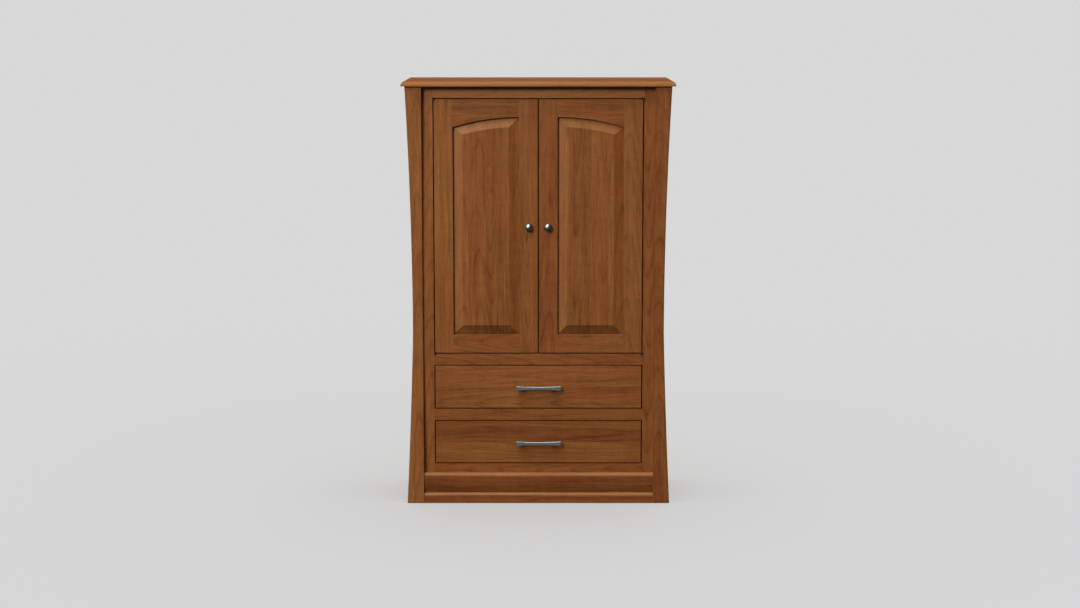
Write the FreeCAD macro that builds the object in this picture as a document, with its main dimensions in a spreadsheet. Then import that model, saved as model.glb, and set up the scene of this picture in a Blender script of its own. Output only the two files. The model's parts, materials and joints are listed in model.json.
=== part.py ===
import FreeCAD, Part
import math
import os

import Sketcher

# A two-door television armoire with two drawers under the doors. Bowed corner posts flank a
# face frame; inset doors turn on knife hinges and inset drawers run on full-extension slides.
# Frame: +Z up, front towards -Y, origin on the floor in the middle of the overall depth.

# Driving dimensions in millimetres: alias, value and meaning.
DRIVING_SIZES = [
    # Heights of the front, from the floor up.
    ("base_rail_height", 168.05, "floor to the lower drawer opening"),
    ("lower_opening_height", 188.4, "lower drawer opening"),
    ("drawer_rail_height", 49.7, "rail between the drawers"),
    ("upper_opening_height", 190.2, "upper drawer opening"),
    ("mid_rail_height", 47.3, "rail between drawers and doors"),
    ("door_opening_height", 1080.6, "opening of the pair of doors"),
    ("top_rail_height", 49.95, "rail above the doors"),
    ("top_thickness", 21.0, "top board"),
    # Widths and depths of the case.
    ("opening_width", 883.5, "door and drawer openings"),
    ("face_stile_width", 46.75, "face frame stile beside an opening"),
    ("overall_depth", 483.0, "top board, front to back"),
    ("face_setback", 39.0, "front of the top board to the face frame"),
    ("face_thickness", 25.0, "face frame, doors and drawer fronts"),
    ("floor_clearance", 12.0, "under the rails that do not reach the floor"),
    # Top board edge.
    ("top_overhang", 14.7, "top board past the head of each post"),
    ("top_edge_radius", 18.0, "rounded upper edge of the top board"),
    # Corner posts, bowed on the outer side and on the front.
    ("post_waist_width", 42.5, "post at its waist"),
    ("post_waist_height", 754.2, "floor to the waist"),
    ("post_knee_drop", 59.0, "short waist curve, from waist down to knee"),
    ("post_lower_sag", 1.9, "lower side curve, in from a straight line"),
    ("post_top_flare", 26.3, "side curve, waist to head"),
    ("post_foot_flare", 28.2, "side curve, waist to foot"),
    ("post_waist_proud", 12.0, "post in front of the face frame at the waist"),
    ("bow_lower_sag", 0.9, "lower front curve, back from a straight line"),
    ("bow_top_flare", 14.0, "front curve, waist to head"),
    ("bow_foot_flare", 13.0, "front curve, waist to foot"),
    ("post_behind_face", 42.5, "front post behind the face frame's front"),
    ("rear_post_depth", 60.0, "rear post, front to back"),
    ("post_edge_radius", 5.0, "rounded outer edge of a front post"),
    # Side frames and panels.
    ("side_reveal", 12.0, "side frame behind the waist of the posts"),
    ("side_thickness", 25.0, "side rails"),
    ("side_top_rail_height", 96.0, "side top rail"),
    # Inner boards.
    ("board_thickness", 18.0, "deck, bottom board and shelf"),
    ("back_thickness", 6.0, "back panel"),
    ("back_recess", 6.0, "back panel inside the rear edge of the posts"),
    ("back_rabbet", 9.5, "back panel let into each rear post"),
    ("shelf_height", 760.0, "deck to the underside of the shelf"),
    ("shelf_clearance", 2.0, "shelf to posts, back and doors"),
    # Frame-and-panel joints.
    ("groove_width", 6.2, "groove for panels and tongues"),
    ("groove_depth", 10.0, "groove for panels and tongues"),
    ("joint_clearance", 0.2, "tongue smaller than its groove"),
    # Raised panels.
    ("bevel_width", 41.0, "bevel round a raised field"),
    ("field_recess", 0.6, "raised field behind the frame's face"),
    ("bevel_drop", 13.0, "bevel, from the field back to the groove"),
    ("bevel_sag", 1.0, "hollow of the bevel's face, behind a straight slope"),
    # Doors.
    ("gap", 4.5, "all round each door and drawer front"),
    ("eased_edge", 1.2, "rounding of the show edges round each door and drawer front"),
    ("door_stile_width", 78.25, "door stiles"),
    ("door_bottom_rail_height", 77.25, "door bottom rail"),
    ("door_top_rail_height", 74.25, "door top rail at the meeting stile"),
    ("arch_drop", 42.0, "fall of the arch towards the hinge stile"),
    # Knobs.
    ("knob_inset", 40.3, "knob from the middle of the pair of doors"),
    ("knob_radius", 15.9, "knob at its widest"),
    ("knob_projection", 27.0, "knob in front of its door"),
    ("knob_rim_setback", 9.5, "dome height, from the widest ring to the crown"),
    ("knob_rim_thickness", 2.5, "straight rim behind the dome"),
    ("knob_neck_radius", 6.0, "neck of a knob"),
    ("knob_foot_radius", 9.0, "foot of a knob on its door"),
    ("knob_foot_thickness", 3.0, "foot of a knob"),
    ("knob_shank_radius", 2.5, "screwed shank in the stile"),
    ("knob_shank_length", 14.0, "screwed shank in the stile"),
    ("shank_clearance", 0.2, "shank and screws in their holes"),
    # Knife hinges at the top and bottom of each door.
    ("hinge_axis_proud", 3.5, "hinge axis in front of the door"),
    ("knuckle_radius", 3.4, "hinge knuckle"),
    ("leaf_thickness", 2.5, "hinge leaf"),
    ("leaf_length", 45.0, "hinge leaf along the door"),
    ("leaf_width", 10.0, "hinge leaf across the door"),
    ("leaf_setback", 4.5, "hinge leaf behind the door's face"),
    ("leaf_neck_width", 5.0, "neck from the leaf to its knuckle"),
    ("hinge_pin_radius", 1.7, "hinge pin"),
    ("running_clearance", 0.05, "radial play of the hinge pin"),
    ("thrust_clearance", 0.2, "end play between hinge boss and leaf"),
    # Magnetic catch and strike plates.
    ("catch_width", 72.0, "double catch behind the top rail"),
    ("catch_depth", 18.0, "catch body behind the doors"),
    ("catch_drop", 27.0, "catch body below the top rail"),
    ("catch_flange", 3.0, "screw flange on the back of the rail"),
    ("strike_length", 22.0, "strike plate across the stile"),
    ("strike_height", 16.0, "strike plate"),
    ("strike_thickness", 1.5, "strike plate"),
    ("strike_inset", 9.0, "strike plate from the middle of the pair"),
    ("seat_gap", 0.3, "closed door to its catch"),
    # Drawers.
    ("slide_thickness", 12.7, "slide between drawer side and cleat"),
    ("slide_height", 45.0, "slide"),
    ("slide_end_clearance", 12.0, "slide shorter than the case is deep"),
    ("slide_wall", 1.4, "sheet metal of the outer and inner members"),
    ("slide_race", 5.0, "middle member's flange with its ball race"),
    ("slide_play", 0.4, "between nested slide members"),
    ("cleat_height", 60.0, "wooden cleat behind a slide"),
    ("drawer_wall", 13.0, "drawer sides and back"),
    ("drawer_floor", 6.0, "drawer bottom"),
    ("drawer_floor_lift", 12.0, "drawer bottom above the lower edge of the sides"),
    ("drawer_box_drop", 26.0, "drawer sides below the top of the opening"),
    ("drawer_box_lift", 14.0, "drawer sides above the bottom of the opening"),
    ("side_tongue", 7.0, "tongue of a drawer side in the front"),
    ("front_groove_depth", 6.0, "grooves in the back of a drawer front"),
    # Drawer pulls.
    ("pull_length", 191.0, "pull from end to end"),
    ("pull_centres", 128.0, "distance between the two feet"),
    ("pull_end_height", 20.5, "pull at its ends"),
    ("pull_waist_height", 13.0, "pull at its middle"),
    ("pull_bar_thickness", 8.0, "bar of the pull"),
    ("pull_projection", 28.0, "pull in front of the drawer"),
    ("pull_drop", 2.4, "pull below the middle of its drawer front"),
    ("pull_bevel", 2.2, "bevel along the bar's front edges"),
    ("pull_foot_radius", 6.5, "foot of the pull"),
    ("pull_screw_radius", 2.0, "machine screw"),
    ("pull_screw_engagement", 9.0, "screw inside the foot"),
    ("screw_head_radius", 4.2, "screw head"),
    ("screw_head_height", 2.8, "screw head"),
    # Base moulding between the front posts.
    ("base_moulding_height", 130.4, "base moulding"),
    ("bead_proud", 18.0, "upper bead in front of the face frame"),
    ("bead_radius", 16.0, "upper bead, above the bellied face"),
    ("plinth_height", 30.0, "flat plinth under the ledge"),
    ("plinth_proud", 22.0, "plinth in front of the face frame"),
    ("ledge_radius", 14.0, "rounded ledge between the plinth and the bellied face"),
    # Cable holes and shelf pins.
    ("cable_hole_radius", 30.0, "hole in the back panel"),
    ("cable_hole_spacing", 520.0, "distance between the two cable holes"),
    ("cable_hole_height", 110.0, "deck to the middle of a cable hole"),
    ("grommet_wall", 3.0, "sleeve of a cable grommet"),
    ("grommet_flange", 6.0, "flange of a grommet past its hole"),
    ("grommet_flange_thickness", 2.0, "flange of a grommet"),
    ("pin_radius", 2.5, "shelf pin"),
    ("pin_depth", 10.0, "shelf pin in the post"),
    ("pin_reach", 9.0, "shelf pin under the shelf"),
    ("pin_collar_radius", 4.5, "collar against the post"),
    ("pin_collar_thickness", 1.5, "collar against the post"),
    ("pin_setback", 11.0, "shelf pin from the face frame or back panel"),
    ("pin_spacing", 32.0, "holes up the post"),
    ("cut_margin", 5.0, "how far a cutting profile starts outside the stock"),
]
PIN_HOLES = 9
PIN_HOLES_BELOW_SHELF = 4

TOUCHING = 1e-4

START, END, CENTRE = range(1, 4)
LEFT_OF_TRAVEL, RIGHT_OF_TRAVEL = "left", "right"


class Size:
    """A length kept both as a number and as the sheet expression that gives it."""

    def __init__(self, text, number):
        self.text = text
        self.number = number

    def __add__(self, other):
        return combine(self, "+", other)

    def __radd__(self, other):
        return combine(other, "+", self)

    def __sub__(self, other):
        return combine(self, "-", other)

    def __rsub__(self, other):
        return combine(other, "-", self)

    def __mul__(self, other):
        return combine(self, "*", other)

    def __rmul__(self, other):
        return combine(other, "*", self)

    def __truediv__(self, other):
        return combine(self, "/", other)

    def __neg__(self):
        return combine(0, "-", self)


OPERATIONS = {
    "+": lambda first, second: first + second,
    "-": lambda first, second: first - second,
    "*": lambda first, second: first * second,
    "/": lambda first, second: first / second,
}


def as_size(value):
    if isinstance(value, Size):
        return value
    return Size(repr(float(value)), float(value))


def combine(first, sign, second):
    first = as_size(first)
    second = as_size(second)
    text = f"({first.text} {sign} {second.text})"
    return Size(text, OPERATIONS[sign](first.number, second.number))


def root(value):
    return Size(f"sqrt({value.text})", math.sqrt(value.number))


def larger(first, second):
    return Size(f"max({first.text}; {second.text})", max(first.number, second.number))


document = FreeCAD.newDocument("tv_armoire")
sheet = document.addObject("Spreadsheet::Sheet", "Sizes")
SIZES = {}
for row, (alias, value, meaning) in enumerate(DRIVING_SIZES, start=1):
    sheet.set(f"A{row}", meaning)
    sheet.set(f"B{row}", str(value))
    sheet.setAlias(f"B{row}", alias)
    SIZES[alias] = Size(f"Sizes.{alias}", value)
document.recompute()


class Layout:
    """Driving sizes by name, and the levels and faces that follow from them."""

    def __getattr__(self, alias):
        return SIZES[alias]


at = Layout()

# Heights of the front, from the floor up.
at.lower_opening_low = at.base_rail_height
at.lower_opening_high = at.lower_opening_low + at.lower_opening_height
at.upper_opening_low = at.lower_opening_high + at.drawer_rail_height
at.upper_opening_high = at.upper_opening_low + at.upper_opening_height
at.door_opening_low = at.upper_opening_high + at.mid_rail_height
at.door_opening_high = at.door_opening_low + at.door_opening_height
at.case_top = at.door_opening_high + at.top_rail_height
at.overall_height = at.case_top + at.top_thickness

# Distances from the middle plane of the case.
at.opening_half = at.opening_width / 2
at.post_inner = at.opening_half + at.face_stile_width
at.waist_half = at.post_inner + at.post_waist_width
at.head_half = at.waist_half + at.post_top_flare
at.foot_half = at.waist_half + at.post_foot_flare
at.top_half = at.head_half + at.top_overhang
at.side_outer = at.waist_half - at.side_reveal
at.side_inner = at.side_outer - at.side_thickness

# Front-to-back places.
at.front = -at.overall_depth / 2
at.rear = at.overall_depth / 2
at.face = at.front + at.face_setback
at.face_back = at.face + at.face_thickness
at.front_post_back = at.face + at.post_behind_face
at.rear_post_front = at.rear - at.rear_post_depth
at.back_inner = at.rear - at.back_recess - at.back_thickness

# Doors and their hinges.
at.door_low = at.door_opening_low + at.gap
at.door_high = at.door_opening_high - at.gap
at.door_outer = at.opening_half - at.gap
at.door_inner = at.gap / 2
at.hinge_x = at.opening_half - at.gap / 2
at.hinge_y = at.face - at.hinge_axis_proud
at.tongue = at.groove_width - at.joint_clearance
at.tongue_reach = at.groove_depth - at.joint_clearance

# Drawers and their slides.
at.box_half = at.opening_half - at.slide_thickness
at.slide_front = at.face_back
at.slide_rear = at.back_inner - at.slide_end_clearance


def bind(feature, property_name, value):
    """Tie one property of a feature to the sheet."""
    feature.setExpression(property_name, as_size(value).text)


def faces_backwards(plane):
    """Whether the plane's normal points along a negative axis."""
    return plane == "XZ"


def sketch_on(body, plane, level, name):
    """An empty sketch of the body on one of its origin planes, moved to the given level."""
    roles = {item.Role: item for item in body.Origin.OriginFeatures}
    origin_plane = roles[f"{plane}_Plane"]
    sketch = body.newObject("Sketcher::SketchObject", name)
    sketch.AttachmentSupport = [(origin_plane, "")]
    sketch.MapMode = "FlatFace"
    bind(sketch, "AttachmentOffset.Base.z", -level if faces_backwards(plane) else level)
    return sketch


def pin_point(sketch, geometry, position, point):
    """Hold one point of the geometry at sheet-driven distances from the sketch's origin."""
    for kind, value in zip(("DistanceX", "DistanceY"), point):
        value = as_size(value)
        constraint = Sketcher.Constraint(kind, -1, START, geometry, position, value.number)
        index = sketch.addConstraint(constraint)
        bind(sketch, f"Constraints[{index}]", value)


def arc_between(start, end, radius, side):
    """The shorter arc from start to end whose centre lies on the given side of travel."""
    chord = end - start
    to_left = FreeCAD.Vector(-chord.y, chord.x, 0).normalize()
    reach = math.sqrt(radius * radius - chord.Length * chord.Length / 4)
    centre = start + chord * 0.5 + to_left * (reach if side == LEFT_OF_TRAVEL else -reach)
    first, last = (start, end) if side == LEFT_OF_TRAVEL else (end, start)
    circle = Part.Circle(centre, FreeCAD.Vector(0, 0, 1), radius)
    angles = [math.atan2(point.y - centre.y, point.x - centre.x) for point in (first, last)]
    return Part.ArcOfCircle(circle, angles[0], angles[1])


def draw_outline(sketch, points, arcs=None):
    """A closed outline through the points; arcs maps an edge's number to (radius, side)."""
    arcs = arcs or {}
    corners = [FreeCAD.Vector(as_size(a).number, as_size(b).number, 0) for a, b in points]
    count = len(points)
    ends = []
    for edge in range(count):
        start = corners[edge]
        end = corners[(edge + 1) % count]
        positions = (START, END)
        if edge in arcs:
            radius, side = arcs[edge]
            geometry = sketch.addGeometry(arc_between(start, end, radius.number, side), False)
            index = sketch.addConstraint(Sketcher.Constraint("Radius", geometry, radius.number))
            bind(sketch, f"Constraints[{index}]", radius)
            if side == RIGHT_OF_TRAVEL:
                positions = (END, START)
        else:
            geometry = sketch.addGeometry(Part.LineSegment(start, end), False)
        ends.append((geometry, positions))
    for edge, (geometry, positions) in enumerate(ends):
        following, following_positions = ends[(edge + 1) % count]
        sketch.addConstraint(Sketcher.Constraint(
            "Coincident", geometry, positions[1], following, following_positions[0]))
        pin_point(sketch, geometry, positions[0], points[edge])


def draw_circle(sketch, centre, radius):
    middle = FreeCAD.Vector(as_size(centre[0]).number, as_size(centre[1]).number, 0)
    circle = Part.Circle(middle, FreeCAD.Vector(0, 0, 1), radius.number)
    geometry = sketch.addGeometry(circle, False)
    index = sketch.addConstraint(Sketcher.Constraint("Radius", geometry, radius.number))
    bind(sketch, f"Constraints[{index}]", radius)
    pin_point(sketch, geometry, CENTRE, centre)


def rectangle(low, high):
    """Corner points of a rectangle from its lowest to its highest corner."""
    return [low, (high[0], low[1]), high, (low[0], high[1])]


def extrude(body, plane, span, name, points=None, arcs=None, circles=(), cut=False):
    """Pad or pocket an outline, or circles, between two levels across the plane."""
    low, high = span
    sketch = sketch_on(body, plane, high if faces_backwards(plane) else low, f"{name}_sketch")
    if points:
        draw_outline(sketch, points, arcs)
    for centre, radius in circles:
        draw_circle(sketch, centre, radius)
    document.recompute()
    feature = body.newObject("PartDesign::Pocket" if cut else "PartDesign::Pad", name)
    feature.Profile = sketch
    feature.Reversed = cut
    bind(feature, "Length", high - low)
    document.recompute()
    return feature


def cut(body, plane, span, name, points=None, arcs=None, circles=()):
    return extrude(body, plane, span, name, points, arcs, circles, cut=True)


def new_body(name):
    return document.addObject("PartDesign::Body", name)


def place(piece, x, y, z):
    for axis, value in zip("xyz", (x, y, z)):
        bind(piece, f"Placement.Base.{axis}", value)


def board(name, x, y, z):
    """A plain rectangular board between the given pairs of levels."""
    piece = document.addObject("Part::Box", name)
    for side, (low, high) in zip(("Length", "Width", "Height"), (x, y, z)):
        bind(piece, side, high - low)
    place(piece, x[0], y[0], z[0])
    return piece


def mirrored(piece, name):
    """The same piece on the other side of the case's middle plane."""
    twin = document.addObject("Part::Mirroring", name)
    twin.Source = piece
    twin.Normal = FreeCAD.Vector(1, 0, 0)
    return twin


def grouped(pieces, name):
    """One node of separate, identical solids."""
    group = document.addObject("Part::Compound", name)
    group.Links = pieces
    return group


def pair(make, name):
    """Right-hand piece and its left-hand twin, each a node of its own."""
    right = make(f"{name}_right")
    return [right, mirrored(right, f"{name}_left")]


def tangent_radius(rise, run):
    """Radius of an arc that starts along the rise and reaches the run at its end."""
    return (rise * rise + run * run) / (2 * run)


def sagged_radius(rise, run, sag):
    """Radius of an arc whose middle lies off its chord by the sag."""
    return (rise * rise + run * run + 4 * sag * sag) / (8 * sag)


def bowed_edge(base, direction, foot_flare, top_flare, lower_sag):
    """Outline points up a bowed edge, foot to head, and the radii of its three curves.

    The upper curve starts upright at the waist. A short curve below the waist leads into the
    lower one, so its flare at the knee follows from how steeply the lower one starts.
    """
    knee_height = at.post_waist_height - at.post_knee_drop
    knee_lean = (foot_flare - 4 * lower_sag) / knee_height
    knee_flare = at.post_knee_drop * knee_lean / 2
    points = [
        (base + direction * foot_flare, as_size(0)),
        (base + direction * knee_flare, knee_height),
        (base, at.post_waist_height),
        (base + direction * top_flare, at.case_top),
    ]
    waist_radius = tangent_radius(at.post_knee_drop, knee_flare)
    lower_radius = sagged_radius(knee_height, foot_flare - knee_flare, lower_sag)
    upper_radius = tangent_radius(at.case_top - at.post_waist_height, top_flare)
    return points, [lower_radius, waist_radius, upper_radius]


def post_blank(body, span):
    """A post bowed on its outer side, straight on its inner side."""
    points, radii = bowed_edge(at.waist_half, 1, at.post_foot_flare, at.post_top_flare,
                               at.post_lower_sag)
    points = points + [(at.post_inner, at.case_top), (at.post_inner, as_size(0))]
    arcs = {edge: (radius, RIGHT_OF_TRAVEL) for edge, radius in enumerate(radii)}
    return extrude(body, "XZ", span, f"{body.Name}_blank", points, arcs)


def tongue_middle(face, inward):
    """Middle of a raised panel's tongue, behind the show face of its frame."""
    return face + inward * (at.field_recess + at.bevel_drop + at.tongue / 2)


def panel_groove(body, low, high):
    """The groove that holds the edge of the side panel and the tongues of the side rails."""
    middle = tongue_middle(at.side_outer, -1)
    cut(body, "XY", (as_size(at.floor_clearance), at.case_top), f"{body.Name}_groove",
        rectangle((middle - at.groove_width / 2, low), (middle + at.groove_width / 2, high)))


def pin_holes(body, depth_place):
    """A column of blind shelf pin holes in the inner face of a post."""
    first = at.door_opening_low + at.shelf_height - at.pin_radius
    first = first - PIN_HOLES_BELOW_SHELF * at.pin_spacing
    heights = [first + step * at.pin_spacing for step in range(PIN_HOLES)]
    circles = [((depth_place, height), at.pin_radius + at.running_clearance)
               for height in heights]
    cut(body, "YZ", (at.post_inner, at.post_inner + at.pin_depth + at.joint_clearance),
        f"{body.Name}_pin_holes", circles=circles)


def long_edges(feature, wanted):
    """Names of the feature's edges whose middle point passes the test."""
    names = []
    for number, edge in enumerate(feature.Shape.Edges, start=1):
        middle = edge.valueAt((edge.FirstParameter + edge.LastParameter) / 2)
        if wanted(edge, middle):
            names.append(f"Edge{number}")
    return names


def rounded(body, radius, wanted):
    """Round the edges of the body's last feature that pass the test."""
    base = body.Tip
    fillet = body.newObject("PartDesign::Fillet", f"{body.Name}_eased_edge")
    fillet.Base = (base, long_edges(base, wanted))
    bind(fillet, "Radius", radius)
    document.recompute()


def ease_show_edges(body, sides=(), levels=()):
    """Ease the front edges that run up the given sides and along the given levels."""
    def on_perimeter(edge, middle):
        in_front = all(abs(end.Point.y - at.face.number) < TOUCHING for end in edge.Vertexes)
        beside = any(abs(middle.x - side.number) < TOUCHING for side in sides)
        along = any(abs(middle.z - level.number) < TOUCHING for level in levels)
        return in_front and (beside or along) and edge.Length > 2 * at.eased_edge.number

    rounded(body, at.eased_edge, on_perimeter)


def front_post(name):
    body = new_body(name)
    waist = at.face - at.post_waist_proud
    foremost = waist - larger(at.bow_foot_flare, at.bow_top_flare)
    post_blank(body, (foremost, at.front_post_back))
    points, radii = bowed_edge(waist, -1, at.bow_foot_flare, at.bow_top_flare,
                               at.bow_lower_sag)
    outside = foremost - at.cut_margin
    points = points + [(outside, at.case_top), (outside, as_size(0))]
    arcs = {edge: (radius, LEFT_OF_TRAVEL) for edge, radius in enumerate(radii)}
    across = (at.post_inner - at.cut_margin, at.top_half)
    cut(body, "YZ", across, f"{name}_bow", points, arcs)
    face = waist.number
    inner = at.post_inner.number

    def outer_front(edge, middle):
        return edge.Length > at.post_edge_radius.number * 2 and middle.y < face and (
            middle.x > inner + at.post_waist_width.number / 2) and (
            0 < middle.z < at.case_top.number)

    rounded(body, at.post_edge_radius, outer_front)
    panel_groove(body, at.front_post_back - at.groove_depth, at.front_post_back)
    pin_holes(body, at.face_back + at.pin_setback)
    return body


def rear_post(name):
    body = new_body(name)
    post_blank(body, (at.rear_post_front, at.rear))
    panel_groove(body, at.rear_post_front, at.rear_post_front + at.groove_depth)
    rabbet_high = (at.post_inner + at.back_rabbet, at.rear)
    cut(body, "XY", (as_size(0), at.case_top), f"{name}_rabbet",
        rectangle((at.post_inner, at.back_inner), rabbet_high))
    pin_holes(body, at.back_inner - at.pin_setback)
    return body


def top_board():
    """A slab rounded along the front and both ends; the rounding mitres at the corners."""
    body = new_body("top_board")
    flat_half = at.top_half - at.top_edge_radius
    flat_front = at.front + at.top_edge_radius
    lip_high = at.overall_height - at.top_edge_radius
    ends = [(-at.top_half, at.case_top), (at.top_half, at.case_top), (at.top_half, lip_high),
            (flat_half, at.overall_height), (-flat_half, at.overall_height),
            (-at.top_half, lip_high)]
    quarter_round = (at.top_edge_radius, LEFT_OF_TRAVEL)
    extrude(body, "XZ", (at.front, at.rear), "top_board_slab", ends,
            {2: quarter_round, 4: quarter_round})
    above = at.overall_height + at.cut_margin
    ahead = at.front - at.cut_margin
    outside = [(at.front, lip_high), (ahead, lip_high), (ahead, above), (flat_front, above),
               (flat_front, at.overall_height)]
    cut(body, "YZ", (-at.top_half, at.top_half), "top_board_front_edge", outside,
        {4: quarter_round})
    return body


def side_rail(name, low, high, groove_at_top):
    """A side rail, tongued into the posts and grooved for the panel."""
    body = new_body(name)
    depth = (at.front_post_back, at.rear_post_front)
    extrude(body, "XZ", depth, f"{name}_rail", rectangle((at.side_inner, low),
                                                         (at.side_outer, high)))
    middle = tongue_middle(at.side_outer, -1)
    tongue_low = (middle - at.tongue / 2, low)
    tongue_high = (middle + at.tongue / 2, high)
    tongued = (depth[0] - at.tongue_reach, depth[1] + at.tongue_reach)
    extrude(body, "XZ", tongued, f"{name}_tongues", rectangle(tongue_low, tongue_high))
    groove_low = high - at.groove_depth if groove_at_top else low
    groove_low_corner = (middle - at.groove_width / 2, groove_low)
    groove_high_corner = (middle + at.groove_width / 2, groove_low + at.groove_depth)
    cut(body, "XZ", (tongued[0] - at.cut_margin, tongued[1] + at.cut_margin),
        f"{name}_groove", rectangle(groove_low_corner, groove_high_corner))
    return body


def side_bottom_rail(name):
    return side_rail(name, at.floor_clearance, at.base_rail_height, True)


def side_top_rail(name):
    return side_rail(name, at.case_top - at.side_top_rail_height, at.case_top, False)


def raised_panel(body, plane, outline, face, inward):
    """A raised panel: a thin tongue plate, then a mitred, hollow bevel up to a flat field.

    outline(offset) gives the panel's points and arcs, set in from the frame's opening by the
    offset; face is the frame's show face, and inward is the sign that leads into the panel.
    """
    field = face + inward * at.field_recess
    edge = field + inward * at.bevel_drop
    hollow = (edge + field) / 2 + inward * at.bevel_sag
    back = edge + inward * at.tongue
    levels = (edge, back) if inward > 0 else (back, edge)
    points, arcs = outline(-(at.groove_depth - at.joint_clearance))
    extrude(body, plane, levels, f"{body.Name}_tongue", points, arcs)
    sections = []
    for label, offset, level in (("edge", as_size(0), edge),
                                 ("hollow", at.bevel_width / 2, hollow),
                                 ("field", at.bevel_width, field)):
        sketch = sketch_on(body, plane, level, f"{body.Name}_{label}_sketch")
        points, arcs = outline(offset)
        draw_outline(sketch, points, arcs)
        sections.append(sketch)
    document.recompute()
    bevel = body.newObject("PartDesign::AdditiveLoft", f"{body.Name}_bevel")
    bevel.Profile = sections[0]
    bevel.Sections = sections[1:]
    bevel.Ruled = False
    document.recompute()
    return body


def side_panel(name):
    def outline(offset):
        low = (at.front_post_back + offset, at.base_rail_height + offset)
        high = (at.rear_post_front - offset, at.case_top - at.side_top_rail_height - offset)
        return rectangle(low, high), {}

    return raised_panel(new_body(name), "YZ", outline, at.side_outer, -1)


def face_stile(name):
    return board(name, (at.opening_half, at.post_inner), (at.face, at.face_back),
                 (at.floor_clearance, at.case_top))


def leaf_outline(outer, slack):
    """Plan of a hinge leaf and the neck that leads forward to its knuckle."""
    leaf_front = at.face + at.leaf_setback - slack
    leaf_back = at.face + at.leaf_setback + at.leaf_width + slack
    leaf_inner = at.door_outer - at.leaf_length - slack
    neck_inner = at.door_outer - at.leaf_neck_width - slack
    return [(outer, leaf_back), (leaf_inner, leaf_back), (leaf_inner, leaf_front),
            (neck_inner, leaf_front), (neck_inner, at.hinge_y), (outer, at.hinge_y)]


def leaf_levels(edge, direction):
    """Lowest and highest level of a leaf let into an edge, into the wood along direction."""
    inside = edge + direction * at.leaf_thickness
    return (edge, inside) if direction > 0 else (inside, edge)


def let_in_leaves(body, edge, direction, sides=(1,)):
    """Shallow recesses for hinge leaves in the edge of a rail or stile."""
    outer = at.opening_half + at.cut_margin
    for side in sides:
        points = [(side * x, y) for x, y in leaf_outline(outer, at.joint_clearance)]
        name = f"{body.Name}_leaf_recess_{'right' if side > 0 else 'left'}"
        cut(body, "XY", leaf_levels(edge, direction), name, points)


def face_rail(name, low, high, leaf_edge=None, leaf_direction=None):
    body = new_body(name)
    extrude(body, "XZ", (at.face, at.face_back), f"{name}_rail",
            rectangle((-at.opening_half, low), (at.opening_half, high)))
    if leaf_edge:
        let_in_leaves(body, leaf_edge, leaf_direction, sides=(1, -1))
    return body


def face_rails():
    return [
        face_rail("face_top_rail", at.door_opening_high, at.case_top,
                  at.door_opening_high, 1),
        face_rail("face_mid_rail", at.upper_opening_high, at.door_opening_low,
                  at.door_opening_low, -1),
        face_rail("face_drawer_rail", at.lower_opening_high, at.upper_opening_low),
        face_rail("face_bottom_rail", at.floor_clearance, at.lower_opening_low),
    ]


def base_moulding():
    """A bead over a bellied face that runs in to a rounded ledge on a flat plinth."""
    body = new_body("base_moulding")
    bead_face = at.face - at.bead_proud
    bead_low = at.base_moulding_height - at.bead_radius
    plinth_face = at.face - at.plinth_proud
    belly_foot = plinth_face + at.ledge_radius
    ledge_high = at.plinth_height + at.ledge_radius
    points = [
        (at.face, as_size(0)),
        (plinth_face, as_size(0)),
        (plinth_face, at.plinth_height),
        (belly_foot, ledge_high),
        (bead_face, bead_low),
        (bead_face + at.bead_radius, at.base_moulding_height),
        (at.face, at.base_moulding_height),
    ]
    belly_radius = tangent_radius(bead_low - ledge_high, belly_foot - bead_face)
    arcs = {
        2: (at.ledge_radius, RIGHT_OF_TRAVEL),
        3: (belly_radius, RIGHT_OF_TRAVEL),
        4: (at.bead_radius, RIGHT_OF_TRAVEL),
    }
    extrude(body, "YZ", (-at.post_inner, at.post_inner), "base_moulding_run", points, arcs)
    return body


def inner_board(name, high):
    """A fixed board across the case, notched round the four posts."""
    body = new_body(name)
    inner = at.post_inner
    outer = at.side_inner
    right = [
        (inner, at.face_back), (inner, at.front_post_back), (outer, at.front_post_back),
        (outer, at.rear_post_front), (inner, at.rear_post_front), (inner, at.back_inner),
    ]
    left = [(-x, y) for x, y in reversed(right)]
    extrude(body, "XY", (high - at.board_thickness, high), f"{name}_board", right + left)
    return body


def cable_hole_centres():
    height = at.door_opening_low + at.cable_hole_height
    return [(side * at.cable_hole_spacing / 2, height) for side in (1, -1)]


def back_panel():
    body = new_body("back_panel")
    half = at.post_inner + at.back_rabbet - at.joint_clearance
    low = at.lower_opening_low - at.board_thickness
    span = (at.back_inner, at.back_inner + at.back_thickness)
    extrude(body, "XZ", span, "back_panel_sheet", rectangle((-half, low), (half, at.case_top)))
    circles = [(centre, at.cable_hole_radius) for centre in cable_hole_centres()]
    cut(body, "XZ", span, "back_panel_cable_holes", circles=circles)
    return body


def turned(name, points, arcs=None):
    """A body turned about the line through its own origin along Y."""
    body = new_body(name)
    sketch = sketch_on(body, "YZ", as_size(0), f"{name}_sketch")
    draw_outline(sketch, points, arcs)
    document.recompute()
    feature = body.newObject("PartDesign::Revolution", f"{name}_turning")
    feature.Profile = sketch
    feature.ReferenceAxis = (sketch, ["H_Axis"])
    feature.Angle = 360
    document.recompute()
    return body


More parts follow.
